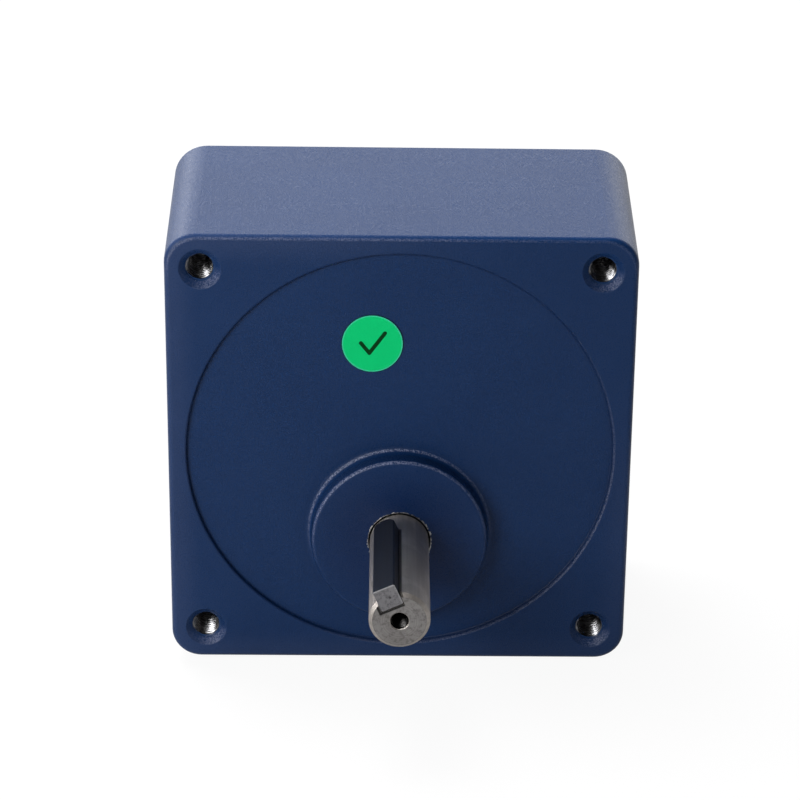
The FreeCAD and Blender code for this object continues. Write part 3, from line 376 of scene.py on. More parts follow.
def painted_margin_sheen(tree, x, y, z):
    """Share of a painted sheen on the front's outer margin: it grows outwards and to the left, where the
    light falls, and leaves the upper right corner without it."""
    outer = FRONT_CORNER - 0.6 * MM
    front_skin = (0.3 * MM, 1.0 * MM)
    side_span, side_shares = (-38.0 * MM, 38.0 * MM), (0.053, 0.03)
    no_sheen_span = (25.0 * MM, 55.0 * MM)
    return product(tree, ramp(tree, outline_reach(tree, x, z), (0.0, outer)), ramp(tree, y, front_skin, FADE),
                   ramp(tree, x, side_span, side_shares), ramp(tree, total(tree, x, z), no_sheen_span, FADE))


def outline_highlight(tree, x, y, z):
    """Painted highlight on the upper part of the front outline, stronger to the left."""
    inset, half_width = 0.5 * MM, 0.3 * MM
    upper_span = (30.0 * MM, 36.0 * MM)
    front_skin = 0.6 * MM
    side_span, side_shares = (-10.0 * MM, 34.0 * MM), (0.34, 0.16)
    line = band(tree, outline_reach(tree, x, z), FRONT_CORNER - inset, half_width)
    return product(tree, line, ramp(tree, z, upper_span), below(tree, y, front_skin),
                   ramp(tree, x, side_span, side_shares))


def boss_highlight(tree, x, y, z, from_bore):
    """Painted highlight on the upper part of the boss, stronger to the left: along its edge and round its
    foot.
    """
    edge_half, foot_half = 0.28 * MM, 0.26 * MM
    edge_skin, foot_front, foot_rear = -1.5 * MM, -1.0 * MM, FRONT_WALL - 1.0 * MM
    upper_span = (-6.0 * MM, 9.0 * MM)
    side_span, side_shares = (-2.0 * MM, 15.0 * MM), (0.75, 0.3)
    edge = product(tree, band(tree, from_bore, BOSS_EDGE, edge_half), below(tree, y, edge_skin))
    foot = product(tree, band(tree, from_bore, BOSS_FOOT, foot_half), above(tree, y, foot_front),
                   below(tree, y, foot_rear))
    return product(tree, largest(tree, edge, foot), ramp(tree, minus(tree, z, SHAFT_UP), upper_span),
                   ramp(tree, x, side_span, side_shares))


def step_highlight(tree, x, z, front):
    """Painted highlight on the lower right part of the step round the recess."""
    out, half_width = 0.22 * MM, 0.3 * MM
    right_weight, down_weight = 0.75, -0.66
    corner_span, corner_shares = (6.0 * MM, 34.0 * MM), (0.0, 0.3)
    to_corner = weighted(tree, (x, right_weight), (z, down_weight))
    return product(tree, band(tree, reach(tree, x, z), RECESS_RADIUS + out, half_width),
                   ramp(tree, to_corner, corner_span, corner_shares), front)


def sink_highlight(tree, hole_x, hole_z, from_hole):
    """Painted highlight on the lower side of each corner hole's countersink, more of it to the right."""
    middle, half_width = 3.0 * MM, 0.75 * MM
    down_span = (0.3 * MM, -1.8 * MM)
    side_span, side_shares = (-2.4 * MM, 1.6 * MM), (0.12, 0.5)
    return product(tree, band(tree, from_hole, middle, half_width), ramp(tree, hole_z, down_span),
                   ramp(tree, hole_x, side_span, side_shares))


def blue_paint():
    """Satin blue powder coat: clouds and flecks of the grain, painted shade along the recess's step and round
    the bore, a painted sheen on the outer margin, and speckled painted highlights on edges that face the
    light. Bare metal shows where a cutter went."""
    deep, pale = rgb(0.0022, 0.0180, 0.0690), rgb(0.0029, 0.0199, 0.0740)
    crest, crest_share = rgb(0.0075, 0.028, 0.092), 0.45
    step_shade_tone, step_shade_span, step_shade_shares = rgb(0.001, 0.004, 0.02), (0.1 * MM, 0.5 * MM), (0.4, 0.0)
    bore_shade_tone, bore_shade_span, bore_shade_shares = rgb(0.0004, 0.004, 0.03), (5.0 * MM, 19.0 * MM), (0.42, 0.0)
    # Pale tone of the painted sheen and of the painted highlights.
    painted_light_tone, speck_span = rgb(0.17, 0.19, 0.29), (0.40, 0.62)
    metal_dark, metal_bright = rgb(0.46, 0.46, 0.47), rgb(0.80, 0.80, 0.81)
    upright_lines, line_height = (1.0, 1.0, 0.05), 0.06
    satin, fleck_gloss, metal_gloss = 0.41, 0.23, 0.34

    finish, tree, shader, place = new_finish("blue_powder_coat", Specular_IOR_Level=0.22)
    x, y, z = axes(tree, place)
    from_bore = reach(tree, x, minus(tree, z, SHAFT_UP))
    hole_x, hole_z = (minus(tree, side, product(tree, calc(tree, "SIGN", side), CORNER_HOLE))
                      for side in (x, z))
    from_hole = reach(tree, hole_x, hole_z)
    front = below(tree, y, FRONT_WALL)
    bare = cut_metal(tree, place, from_bore, from_hole)

    grain = effect(tree, POWDER_GRAIN, Place=place, Scale=4200.0)
    paint = tint(tree, grain["Cloud"], deep, pale)
    paint = tint(tree, product(tree, grain["Fleck"], crest_share), paint, crest)
    # Painted shade: a dark line along the step round the recess.
    from_step = calc(tree, "ABSOLUTE", minus(tree, reach(tree, x, z), RECESS_RADIUS))
    step_shade = product(tree, ramp(tree, from_step, step_shade_span, step_shade_shares), front)
    paint = tint(tree, step_shade, paint, step_shade_tone)
    # Painted shade on the front round the bore, fading outwards from the shaft.
    shade_share = product(tree, ramp(tree, from_bore, bore_shade_span, bore_shade_shares), front)
    paint = tint(tree, shade_share, paint, bore_shade_tone)
    # Painted sheen on the front's outer margin.
    paint = tint(tree, painted_margin_sheen(tree, x, y, z), paint, painted_light_tone)
    # Painted highlights on the edges that face the light, broken into specks.
    painted_highlights = largest(tree, sink_highlight(tree, hole_x, hole_z, from_hole), step_highlight(tree, x, z, front),
                   outline_highlight(tree, x, y, z), boss_highlight(tree, x, y, z, from_bore))
    specks = ramp(tree, noise(tree, place, scale=4600.0), speck_span)
    paint = tint(tree, product(tree, painted_highlights, specks), paint, painted_light_tone)

    milled = effect(tree, DRAWN_LINES, Place=place, Stretch=upright_lines, Scale=1800.0)
    metal = tint(tree, milled["Tone"], metal_dark, metal_bright)
    height = level(tree, bare, grain["Height"], product(tree, milled["Height"], line_height))
    bump(tree, shader, height, strength=0.62, distance=0.15 * MM)
    gloss = level(tree, grain["Fleck"], satin, fleck_gloss)
    feed(tree, shader, Base_Color=tint(tree, bare, paint, metal), Metallic=bare,
         Roughness=level(tree, bare, gloss, metal_gloss))
    return finish


# Finishes of the other pieces

def tapped_metal(name, dark, bright, sprayed):
    """Freshly cut thread, bright on the crests, with dark cutting oil. Paint that was sprayed on the front
    covers the mouth down to a ragged line."""
    oiled, oil_share = rgb(0.05, 0.047, 0.045), 0.6
    spray, spray_ragged = rgb(0.010, 0.030, 0.088), 0.16 * MM
    round_lines, gloss = (0.2, 3.0, 0.2), (0.2, 0.32)
    finish, tree, shader, place = new_finish(name)
    uneven = product(tree, noise(tree, place, scale=1900.0), spray_ragged)
    paint = below(tree, total(tree, axes(tree, place)["Y"], uneven), sprayed)
    film = effect(tree, OIL_FILM, Place=place, Scale=700.0)
    lines = effect(tree, DRAWN_LINES, Place=place, Stretch=round_lines, Scale=2500.0)
    colour = tint(tree, lines["Tone"], dark, bright)
    colour = tint(tree, product(tree, film["Film"], oil_share), colour, oiled)
    feed(tree, shader, Base_Color=tint(tree, paint, colour, spray), Metallic=minus(tree, 1.0, paint),
         Roughness=ramp(tree, lines["Tone"], TONE_SPAN, gloss))
    bump(tree, shader, lines["Height"], strength=0.15, distance=0.01 * MM)
    return finish


def key_axes(tree, x, up):
    """Distances across the key and outwards along its height, from the shaft's axis."""
    along, aside = math.cos(KEY_TURN), math.sin(KEY_TURN)
    return weighted(tree, (x, along), (up, aside)), weighted(tree, (up, along), (x, -aside))


def key_gap_shade(tree, across, out):
    """Painted shade in the gaps of the key's slot, as the shaft's end shows them: beside the key and under
    it.
    """
    beside_middle, beside_half, beside_from = -2.25 * MM, 0.3 * MM, 2.3 * MM
    under_middle, under_half = 2.4 * MM, 0.25 * MM
    under_left, under_right = -2.4 * MM, 2.0 * MM
    beside = product(tree, band(tree, across, beside_middle, beside_half), above(tree, out, beside_from))
    under = product(tree, band(tree, out, under_middle, under_half), below(tree, across, under_right),
                    above(tree, across, under_left))
    return largest(tree, beside, under)


def slot_shade(tree, across, out, y):
    """Painted shadow: a dark line of the slot along the key's right side, as far as the key goes."""
    middle, half_width, lowest = 2.15 * MM, 0.3 * MM, 3.0 * MM
    return product(tree, band(tree, across, middle, half_width), above(tree, out, lowest),
                   below(tree, y, KEY_REAR))


def shaft_steel():
    """Turned shaft: fine ground lines round the bar, lathe rings on its end, warm grey film, faint stains, a
    lighter band near the bore, and painted shade inside the bore and in the gaps by the key.
    """
    bar_dark, bar_bright = rgb(0.53, 0.485, 0.45), rgb(0.75, 0.695, 0.65)
    lighter_near_bore, near_bore_span, near_bore_shares = rgb(0.8, 0.77, 0.74), (-8.0 * MM, -4.0 * MM), (0.0, 0.4)
    streaked, streak_span, streak_shares = rgb(0.36, 0.325, 0.3), (0.42, 0.62), (0.0, 0.4)
    slot_dark, slot_share = rgb(0.012, 0.012, 0.014), 0.85
    end_dark, end_bright = rgb(0.25, 0.238, 0.235), rgb(0.57, 0.545, 0.535)
    marked, mark_span, mark_shares = rgb(0.10, 0.092, 0.09), (0.46, 0.66), (0.0, 0.55)
    inside_bore_shade, inside_bore_span = rgb(0.012, 0.011, 0.01), (BOSS_FACE - 0.1 * MM, BOSS_FACE + 0.1 * MM)
    filmed, film_share = rgb(0.17, 0.15, 0.135), 0.25
    gap_shade_dark, gap_shade_share = rgb(0.006, 0.006, 0.007), 0.9
    round_lines, long_lines = (0.12, 4.0, 0.12), (1.6, 0.04, 1.6)
    ring_height, gloss = 0.08, (0.34, 0.46)
    end_skin = 0.02 * MM

    finish, tree, shader, place = new_finish("shaft_steel", Metallic=0.9)
    centred = moved(tree, place, z=SHAFT_UP)
    x, y, up = axes(tree, centred)
    across, out = key_axes(tree, x, up)
    end_face = below(tree, y, SHAFT_TIP + end_skin)
    rings = effect(tree, TURNING_RINGS, Place=centred, Scale=5200.0)
    ground = effect(tree, DRAWN_LINES, Place=centred, Stretch=round_lines, Scale=1500.0)
    streaks = effect(tree, DRAWN_LINES, Place=centred, Stretch=long_lines, Scale=900.0)
    film = effect(tree, OIL_FILM, Place=centred, Scale=160.0)

    bar = tint(tree, ground["Tone"], bar_dark, bar_bright)
    # Lighter on the bar near the bore.
    bar = tint(tree, ramp(tree, y, near_bore_span, near_bore_shares), bar, lighter_near_bore)
    bar = tint(tree, ramp(tree, streaks["Tone"], streak_span, streak_shares), bar, streaked)
    # Painted shadow along the key's right side on the bar.
    bar = tint(tree, product(tree, slot_shade(tree, across, out, y), slot_share), bar, slot_dark)
    faced = tint(tree, rings["Tone"], end_dark, end_bright)
    scuffs = noise(tree, centred, scale=1300.0, detail=5.0, rough=0.72)
    faced = tint(tree, ramp(tree, scuffs, mark_span, mark_shares), faced, marked)
    colour = tint(tree, end_face, bar, faced)
    # Painted shade on the shaft inside the bore.
    colour = tint(tree, ramp(tree, y, inside_bore_span), colour, inside_bore_shade)
    colour = tint(tree, product(tree, film["Film"], film_share), colour, filmed)
    # Painted shade in the gaps beside and under the key on the end face.
    shade_share = product(tree, end_face, key_gap_shade(tree, across, out), gap_shade_share)
    colour = tint(tree, shade_share, colour, gap_shade_dark)

    tone = level(tree, end_face, ground["Tone"], rings["Tone"])
    feed(tree, shader, Base_Color=colour, Roughness=ramp(tree, tone, TONE_SPAN, gloss))
    height = level(tree, end_face, ground["Height"], product(tree, rings["Height"], ring_height))
    bump(tree, shader, height, strength=1.0, distance=0.16 * MM)
    return finish


def key_steel():
    """Black drawn key with a bright sawn end: sawn lines across the cut, a small pit, and burrs with a
    painted highlight on the top and right edges of the cut.
    """
    black_dark, black_bright = rgb(0.041, 0.045, 0.057), rgb(0.078, 0.084, 0.102)
    cut_dark, cut_bright = rgb(0.215, 0.21, 0.222), rgb(0.51, 0.50, 0.525)
    marked, mark_span, mark_shares = rgb(0.12, 0.115, 0.125), (0.45, 0.65), (0.0, 0.5)
    burr_highlight_bright, burr_highlight_top = rgb(0.95, 0.95, 0.97), (6.15 * MM, 6.4 * MM)
    burr_highlight_side, burr_highlight_side_shares = (1.6 * MM, 1.85 * MM), (0.0, 0.7)
    pit_dark, pit_share, pit_depth = rgb(0.06, 0.055, 0.06), 0.8, 2.0
    pit_across, pit_out, pit_span = 0.35 * MM, 4.55 * MM, (0.12 * MM, 0.30 * MM)
    speck_span, speck_share = (0.62, 0.72), 0.5
    long_lines, saw_lines = (2.0, 0.06, 2.0), (1.0, 1.0, 0.25)
    drawn_gloss, cut_gloss, drawn_height = (0.34, 0.46), 0.36, 0.4
    end_skin = 0.03 * MM

    finish, tree, shader, place = new_finish("key_steel", Metallic=0.92)
    x, y, z = axes(tree, place)
    cut = below(tree, y, SHAFT_TIP + end_skin)
    across, out = key_axes(tree, x, minus(tree, z, SHAFT_UP))
    drawn = effect(tree, DRAWN_LINES, Place=place, Stretch=long_lines, Scale=1300.0)
    sawn = effect(tree, DRAWN_LINES, Place=place, Stretch=saw_lines, Scale=2600.0)

    from_pit = reach(tree, minus(tree, across, pit_across), minus(tree, out, pit_out))
    specks = ramp(tree, noise(tree, place, scale=2300.0), speck_span)
    pit = largest(tree, ramp(tree, from_pit, pit_span, FADE), product(tree, specks, speck_share))
    # Burrs with a painted highlight on the top and right edges of the cut end.
    burr_and_highlight = largest(tree, ramp(tree, out, burr_highlight_top), ramp(tree, across, burr_highlight_side, burr_highlight_side_shares))
    scuffs = noise(tree, place, scale=1500.0, detail=4.0, rough=0.7)
    black = tint(tree, drawn["Tone"], black_dark, black_bright)
    bright = tint(tree, sawn["Tone"], cut_dark, cut_bright)
    bright = tint(tree, ramp(tree, scuffs, mark_span, mark_shares), bright, marked)
    bright = tint(tree, product(tree, burr_and_highlight, sawn["Tone"]), bright, burr_highlight_bright)
    bright = tint(tree, product(tree, pit, pit_share), bright, pit_dark)

    gloss = ramp(tree, drawn["Tone"], TONE_SPAN, drawn_gloss)
    feed(tree, shader, Base_Color=tint(tree, cut, black, bright),
         Roughness=level(tree, cut, gloss, cut_gloss))
    height = level(tree, cut, product(tree, drawn["Height"], drawn_height), sawn["Height"])
    bump(tree, shader, minus(tree, height, product(tree, pit, pit_depth)), strength=0.4, distance=0.04 * MM)
    return finish


def stroke(tree, x, z, start, stop):
    """Distance from a straight pen stroke: to the nearest point of the line between its two ends."""
    along_x, along_z = stop[0] - start[0], stop[1] - start[1]
    size = along_x ** 2 + along_z ** 2
    away_x, away_z = minus(tree, x, start[0]), minus(tree, z, start[1])
    dot = calc(tree, "ADD", product(tree, away_x, along_x / size),
               product(tree, away_z, along_z / size), clamp=True)
    return reach(tree, minus(tree, away_x, product(tree, dot, along_x)),
                 minus(tree, away_z, product(tree, dot, along_z)))


def green_sticker():
    """Printed green paper with a clear film, a tick in dark ink, a paler ring inside its edge and a darker
    green line along the edge.
    """
    green_dark, green_bright = rgb(0.0006, 0.388, 0.112), rgb(0.001, 0.448, 0.136)
    rim_pale, rim_span = rgb(0.04, 0.42, 0.26), (4.78 * MM, 4.98 * MM)
    edge_dark, edge_span = rgb(0.0013, 0.03, 0.02), (5.0 * MM, 5.1 * MM)
    ink_dark, ink_span = rgb(0.001, 0.03, 0.006), (0.3 * MM, 0.38 * MM)
    wear_span, wear_shares = (0.2, 0.4), (0.8, 1.0)
    tick_start, tick_turn, tick_end = (-1.9 * MM, 0.1 * MM), (-0.5 * MM, -1.7 * MM), (2.1 * MM, 1.9 * MM)
    gloss = (0.34, 0.46)

    finish, tree, shader, place = new_finish("green_sticker", Specular_IOR_Level=0.05)
    x, _, z = axes(tree, moved(tree, place, x=STICKER_X, z=STICKER_Z))
    radius = reach(tree, x, z)
    short = stroke(tree, x, z, tick_start, tick_turn)
    long = stroke(tree, x, z, tick_turn, tick_end)
    ink = ramp(tree, calc(tree, "MINIMUM", short, long), ink_span, FADE)
    fibre = noise(tree, place, scale=3000.0, detail=3.0, rough=0.6)
    green = tint(tree, fibre, green_dark, green_bright)
    green = tint(tree, ramp(tree, radius, rim_span), green, rim_pale)
    green = tint(tree, ramp(tree, radius, edge_span), green, edge_dark)
    worn_ink = product(tree, ink, ramp(tree, fibre, wear_span, wear_shares))
    feed(tree, shader, Base_Color=tint(tree, worn_ink, green, ink_dark),
         Roughness=ramp(tree, fibre, TONE_SPAN, gloss))
    bump(tree, shader, fibre, strength=0.12, distance=0.01 * MM)
    return finish


def plate_aluminium():
    """Cast aluminium plate, faced on the motor side: cutter arcs, cast grain inside, faint oil marks."""
    cast_dark, cast_bright = rgb(0.34, 0.345, 0.35), rgb(0.55, 0.55, 0.56)
    cut_dark, cut_bright = rgb(0.48, 0.485, 0.49), rgb(0.72, 0.72, 0.73)
    oiled, oil_share = rgb(0.4, 0.38, 0.34), 0.22
    dry_gloss, oil_gloss = 0.38, 0.26
    cutter_x, cutter_z = -60.0 * MM, 25.0 * MM
    face_skin = 0.02 * MM

    finish, tree, shader, place = new_finish("plate_aluminium", Metallic=1.0)
    faced = above(tree, axes(tree, place)["Y"], PLATE_REAR - face_skin)
    arcs = effect(tree, TURNING_RINGS, Place=moved(tree, place, x=cutter_x, z=cutter_z), Scale=2600.0)
    grain = effect(tree, POWDER_GRAIN, Place=place, Scale=1500.0)
    film = effect(tree, OIL_FILM, Place=place, Scale=90.0)
    cast = tint(tree, grain["Height"], cast_dark, cast_bright)
    cut = tint(tree, arcs["Tone"], cut_dark, cut_bright)
    colour = tint(tree, product(tree, film["Film"], oil_share), tint(tree, faced, cast, cut), oiled)
    feed(tree, shader, Base_Color=colour, Roughness=level(tree, film["Film"], dry_gloss, oil_gloss))
    height = level(tree, faced, grain["Height"], arcs["Height"])
    bump(tree, shader, height, strength=0.25, distance=0.02 * MM)
    return finish


def bar_steel(name, dark, bright, gloss, oil, stretch=EVEN_LINES):
    """Steel with lines along one direction and a share of oil film, for pins, bearings, gears and rings."""
    oiled, oil_gloss = rgb(0.16, 0.125, 0.075), 0.7 * gloss[0]
    finish, tree, shader, place = new_finish(name, Metallic=1.0)
    lines = effect(tree, DRAWN_LINES, Place=place, Stretch=stretch, Scale=1700.0)
    film = effect(tree, OIL_FILM, Place=place, Scale=180.0)
    colour = tint(tree, lines["Tone"], dark, bright)
    stain = product(tree, film["Film"], oil)
    feed(tree, shader, Base_Color=tint(tree, stain, colour, oiled),
         Roughness=level(tree, stain, ramp(tree, lines["Tone"], TONE_SPAN, gloss), oil_gloss))
    bump(tree, shader, lines["Height"], strength=0.2, distance=0.012 * MM)
    return finish


def bush_bronze():
    """Sintered bronze: fine open grain, oil-darkened pores."""
    dark, bright = rgb(0.30, 0.19, 0.085), rgb(0.58, 0.40, 0.19)
    oiled, oil_share = rgb(0.2, 0.12, 0.05), 0.35
    dry_gloss, oil_gloss = 0.46, 0.3
    finish, tree, shader, place = new_finish("bush_bronze", Metallic=1.0)
    grain = effect(tree, POWDER_GRAIN, Place=place, Scale=3200.0)
    film = effect(tree, OIL_FILM, Place=place, Scale=300.0)
    colour = tint(tree, grain["Height"], dark, bright)
    feed(tree, shader, Base_Color=tint(tree, product(tree, film["Film"], oil_share), colour, oiled),
         Roughness=level(tree, film["Film"], dry_gloss, oil_gloss))
    bump(tree, shader, grain["Height"], strength=0.3, distance=0.02 * MM)
    return finish


def seal_rubber():
    """Moulded black rubber with a soft, powdery bloom."""
    black, bloom = rgb(0.012, 0.012, 0.013), rgb(0.03, 0.029, 0.028)
    matt, fleck_gloss = 0.62, 0.5
    finish, tree, shader, place = new_finish("seal_rubber", Specular_IOR_Level=0.4)
    grain = effect(tree, POWDER_GRAIN, Place=place, Scale=2400.0)
    feed(tree, shader, Base_Color=tint(tree, grain["Cloud"], black, bloom),
         Roughness=level(tree, grain["Fleck"], matt, fleck_gloss))
    bump(tree, shader, grain["Height"], strength=0.2, distance=0.02 * MM)
    return finish


STEELS = {
    "zinc_steel": {"dark": rgb(0.52, 0.53, 0.54), "bright": rgb(0.80, 0.81, 0.80),
                   "gloss": (0.22, 0.36), "oil": 0.1},
    "ground_steel": {"dark": rgb(0.40, 0.40, 0.41), "bright": rgb(0.62, 0.62, 0.63),
                     "gloss": (0.2, 0.32), "oil": 0.15, "stretch": (0.2, 4.0, 0.2)},
    "bearing_steel": {"dark": rgb(0.52, 0.52, 0.53), "bright": rgb(0.74, 0.74, 0.75),
                      "gloss": (0.12, 0.22), "oil": 0.2, "stretch": (0.4, 3.0, 0.4)},
    "cage_steel": {"dark": rgb(0.36, 0.36, 0.36), "bright": rgb(0.58, 0.58, 0.58),
                   "gloss": (0.28, 0.4), "oil": 0.2},
    "gear_steel": {"dark": rgb(0.22, 0.22, 0.23), "bright": rgb(0.46, 0.46, 0.47),
                   "gloss": (0.26, 0.4), "oil": 0.6, "stretch": (1.0, 0.15, 1.0)},
    "spring_steel": {"dark": rgb(0.05, 0.05, 0.055), "bright": rgb(0.12, 0.12, 0.125),
                     "gloss": (0.36, 0.5), "oil": 0.3},
}
FINISHES = {name: bar_steel(name, **look) for name, look in STEELS.items()}
FINISHES["blue_paint"] = blue_paint()
FINISHES["plate_aluminium"] = plate_aluminium()
FINISHES["seal_rubber"] = seal_rubber()
FINISHES["shaft_steel"] = shaft_steel()
FINISHES["key_steel"] = key_steel()
FINISHES["bush_bronze"] = bush_bronze()
FINISHES["green_sticker"] = green_sticker()
FINISHES["tapped_aluminium"] = tapped_metal(
    "tapped_aluminium", dark=rgb(0.08, 0.08, 0.085), bright=rgb(0.50, 0.50, 0.515), sprayed=HOLE_SPRAY)
# Painted shade: the thread in the shaft's tip is near black, standing in for shade inside the small hole.
FINISHES["tapped_steel"] = tapped_metal(
    "tapped_steel", dark=rgb(0.012, 0.012, 0.012), bright=rgb(0.03, 0.029, 0.029), sprayed=SHAFT_TIP)

for name, node in nodes.items():
    for slot in node.material_slots:
        slot.material = FINISHES[slot_of[name]]


# New pieces

def ring_faces(rows, columns, closed):
    """Four-sided faces of a grid whose columns run round; closed joins the last row to the first."""
    row = np.arange(rows if closed else rows - 1)[:, None]
    column = np.arange(columns)[None, :]
    next_row, next_column = (row + 1) % rows, (column + 1) % columns
    corners = [row * columns + column, row * columns + next_column,
               next_row * columns + next_column, next_row * columns + column]
    return np.stack([np.broadcast_to(c, (row.size, columns)) for c in corners], axis=-1).reshape(-1, 4)


def make_piece(name, grids, finish, body, sharp=35.0):
    """One object from several grids of points; doubles at the poles are merged and faces turned outwards."""
    merge_distance = 1e-7
    points, faces, count = [], [], 0
    for grid, closed in grids:
        rows, columns, _ = grid.shape
        points.append(grid.reshape(-1, 3))
        faces.append(ring_faces(rows, columns, closed) + count)
        count += rows * columns
    mesh = bpy.data.meshes.new(name)
    mesh.from_pydata(np.concatenate(points).tolist(), [], np.concatenate(faces).tolist())
    work = bmesh.new()
    work.from_mesh(mesh)
    bmesh.ops.remove_doubles(work, verts=work.verts, dist=merge_distance)
    bmesh.ops.recalc_face_normals(work, faces=work.faces)
    work.to_mesh(mesh)
    work.free()
    mesh.polygons.foreach_set("use_smooth", np.ones(len(mesh.polygons), bool))
    mesh.set_sharp_from_angle(angle=math.radians(sharp))
    mesh.materials.append(FINISHES[finish])
    piece = bpy.data.objects.new(name, mesh)
    bpy.context.scene.collection.objects.link(piece)
    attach(piece, body)
    return piece


def round_angles(columns):
    """Angles once round, without the last, which is the first again."""
    return np.linspace(0.0, FULL_TURN, columns, endpoint=False)


def thread_sleeve(centre, mouth, inward, radius, crest, pitch, lead, end):
    """Thread in a hole, as a thin sleeve: at a depth d and a clockwise angle a, the wall stands in from the
    radius by the ridge height times a flattened triangle wave of (d - pitch * a / turn) / pitch, but never
    inside the 45 degree cone of the countersink, which goes on from the lead. The outer wall closes it."""
    columns, rows_per_turn = 40, 10
    ridge_slope, ridge_sink = 1.7, 0.3
    skin = radius - 0.005 * MM
    thinnest = 0.01 * MM
    depth = np.linspace(lead, end, int((end - lead) / pitch * rows_per_turn))
    angle = round_angles(columns)
    turn = (depth[:, None] / pitch - angle[None, :] / FULL_TURN) % 1.0
    ridge = np.clip(ridge_slope * (1.0 - np.abs(2.0 * turn - 1.0)) - ridge_sink, 0.0, 1.0)
    cone = radius - (depth - lead)[:, None]
    inner = np.minimum(np.maximum(radius - (radius - crest) * ridge, cone), skin - thinnest)
    walls = np.concatenate([inner, np.full((2, columns), skin)])
    depths = np.concatenate([depth, depth[[-1, 0]]])[:, None]
    x = centre[0] + inward * walls * np.cos(angle)
    y = mouth + inward * np.broadcast_to(depths, walls.shape)
    z = centre[1] - walls * np.sin(angle)
    return np.stack([x, y, z], axis=-1), True


corner_places = [(sx * CORNER_HOLE, sz * CORNER_HOLE) for sx in (-1, 1) for sz in (-1, 1)]
hole_thread = {"radius": HOLE_RADIUS, "crest": HOLE_CREST, "pitch": HOLE_PITCH,
               "lead": HOLE_MOUTH, "end": HOLE_END}
tip_thread = {"radius": TIP_RADIUS, "crest": TIP_CREST, "pitch": TIP_PITCH,
              "lead": TIP_MOUTH, "end": TIP_END}
make_piece("front_hole_threads", [
    thread_sleeve(place, mouth=0.0, inward=1.0, **hole_thread) for place in corner_places],
    "tapped_aluminium", "gear_case")
make_piece("rear_hole_threads", [
    thread_sleeve(place, mouth=CASE_DEPTH, inward=-1.0, **hole_thread) for place in corner_places],
    "tapped_aluminium", "gear_case")
make_piece("tip_thread", [
    thread_sleeve((0.0, SHAFT_UP), mouth=SHAFT_TIP, inward=1.0, **tip_thread)],
    "tapped_steel", "output_drive")


def plate_screw(centre, turned):
    """Countersunk screw, turned about its axis: rings out over the head, down the cone and along the shank.
    The head sinks by the cross recess: the depth falls from the middle to the wing's end and its sides."""
    columns, face_rings = 96, 34
    head, shank, length = 2.96 * MM, 1.44 * MM, 13.9 * MM
    rim, rim_step, point = 0.08 * MM, 0.3, 0.4 * MM
    wing, half_width, sink = 1.65 * MM, 0.42 * MM, 1.5 * MM
    floor_slope, wing_root, wing_taper, side_slope = 1.35, 1.2, 0.5, 0.12 * MM
    set_in = 0.02 * MM
    face = np.linspace(0.0, head - rim, face_rings)
    radii = np.concatenate([face, [head - rim * rim_step, head, shank, shank, shank - point, 0.0]])
    sides = [rim * rim_step, rim, head - shank + rim, length - point, length, length]
    drops = np.concatenate([np.zeros(face.size), sides])
    angle = round_angles(columns)
    first = np.abs(radii[:, None] * np.cos(angle + turned))
    second = np.abs(radii[:, None] * np.sin(angle + turned))
    along, across = np.maximum(first, second), np.minimum(first, second)
    floor = np.clip(floor_slope * (1.0 - along / wing), 0.0, 1.0)
    side = np.clip((half_width * (wing_root - wing_taper * along / wing) - across) / side_slope, 0.0, 1.0)
    recess = np.where(np.arange(radii.size)[:, None] < face.size, sink * floor * side, 0.0)
    x = centre[0] + radii[:, None] * np.cos(angle)
    z = centre[1] + radii[:, None] * np.sin(angle)
    y = PLATE_REAR - set_in - drops[:, None] - recess
    return np.stack([x, y, z], axis=-1), False


screw_places = [(SCREW_CIRCLE * math.cos(math.radians(a)), SCREW_CIRCLE * math.sin(math.radians(a)))
                for a in SCREW_ANGLES]
screws = make_piece("plate_screw_set", [
    plate_screw(place, turned) for place, turned in zip(screw_places, SCREW_TURNS)],
    "zinc_steel", "gear_case", sharp=40.0)
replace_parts(screws, "plate_screws")


def sticker_disc():
    """Paper disc: rings from the middle of the face to its edge, down the cut edge and back underneath. The
    face lifts steeply at the edge in a wave with two crests, and everywhere a little in one with three."""
    columns, face_rings = 144, 24
    paper, glue = 0.09 * MM, 0.005 * MM
    edge_lift, edge_power, edge_crests, edge_start = 0.035 * MM, 6, 2, 0.6
    face_lift, face_crests = 0.008 * MM, 3
    face = np.linspace(0.0, 1.0, face_rings)
    radii = np.concatenate([face, [1.0, 0.0]]) * STICKER_RADIUS
    angle = round_angles(columns)
    edge_wave = edge_lift * face[:, None] ** edge_power * (1.0 + np.sin(edge_crests * angle + edge_start))
    face_wave = face_lift * face[:, None] * np.sin(face_crests * angle)
    front = RECESS_FLOOR - paper - (edge_wave + face_wave)
    back = np.full((2, columns), RECESS_FLOOR - glue)
    x = STICKER_X + radii[:, None] * np.cos(angle)
    z = STICKER_Z + radii[:, None] * np.sin(angle)
    return np.stack([x, np.concatenate([front, back]), z], axis=-1), False


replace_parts(make_piece("sticker_disc", [sticker_disc()], "green_sticker", "gear_case"),
            "inspection_sticker")


# Stage

def soft_light(name, place, width, height, power, mirrored=True):
    """A soft box that faces the part; one that is not mirrored gives light without a highlight of its own."""
    lamp = bpy.data.lights.new(name, "AREA")
    lamp.shape = "RECTANGLE"
    lamp.size = width
    lamp.size_y = height
    lamp.energy = power
    box = bpy.data.objects.new(name, lamp)
    box.location = place
    box.rotation_euler = (-Vector(place)).to_track_quat("-Z", "Y").to_euler()
    box.visible_glossy = mirrored
    bpy.context.scene.collection.objects.link(box)


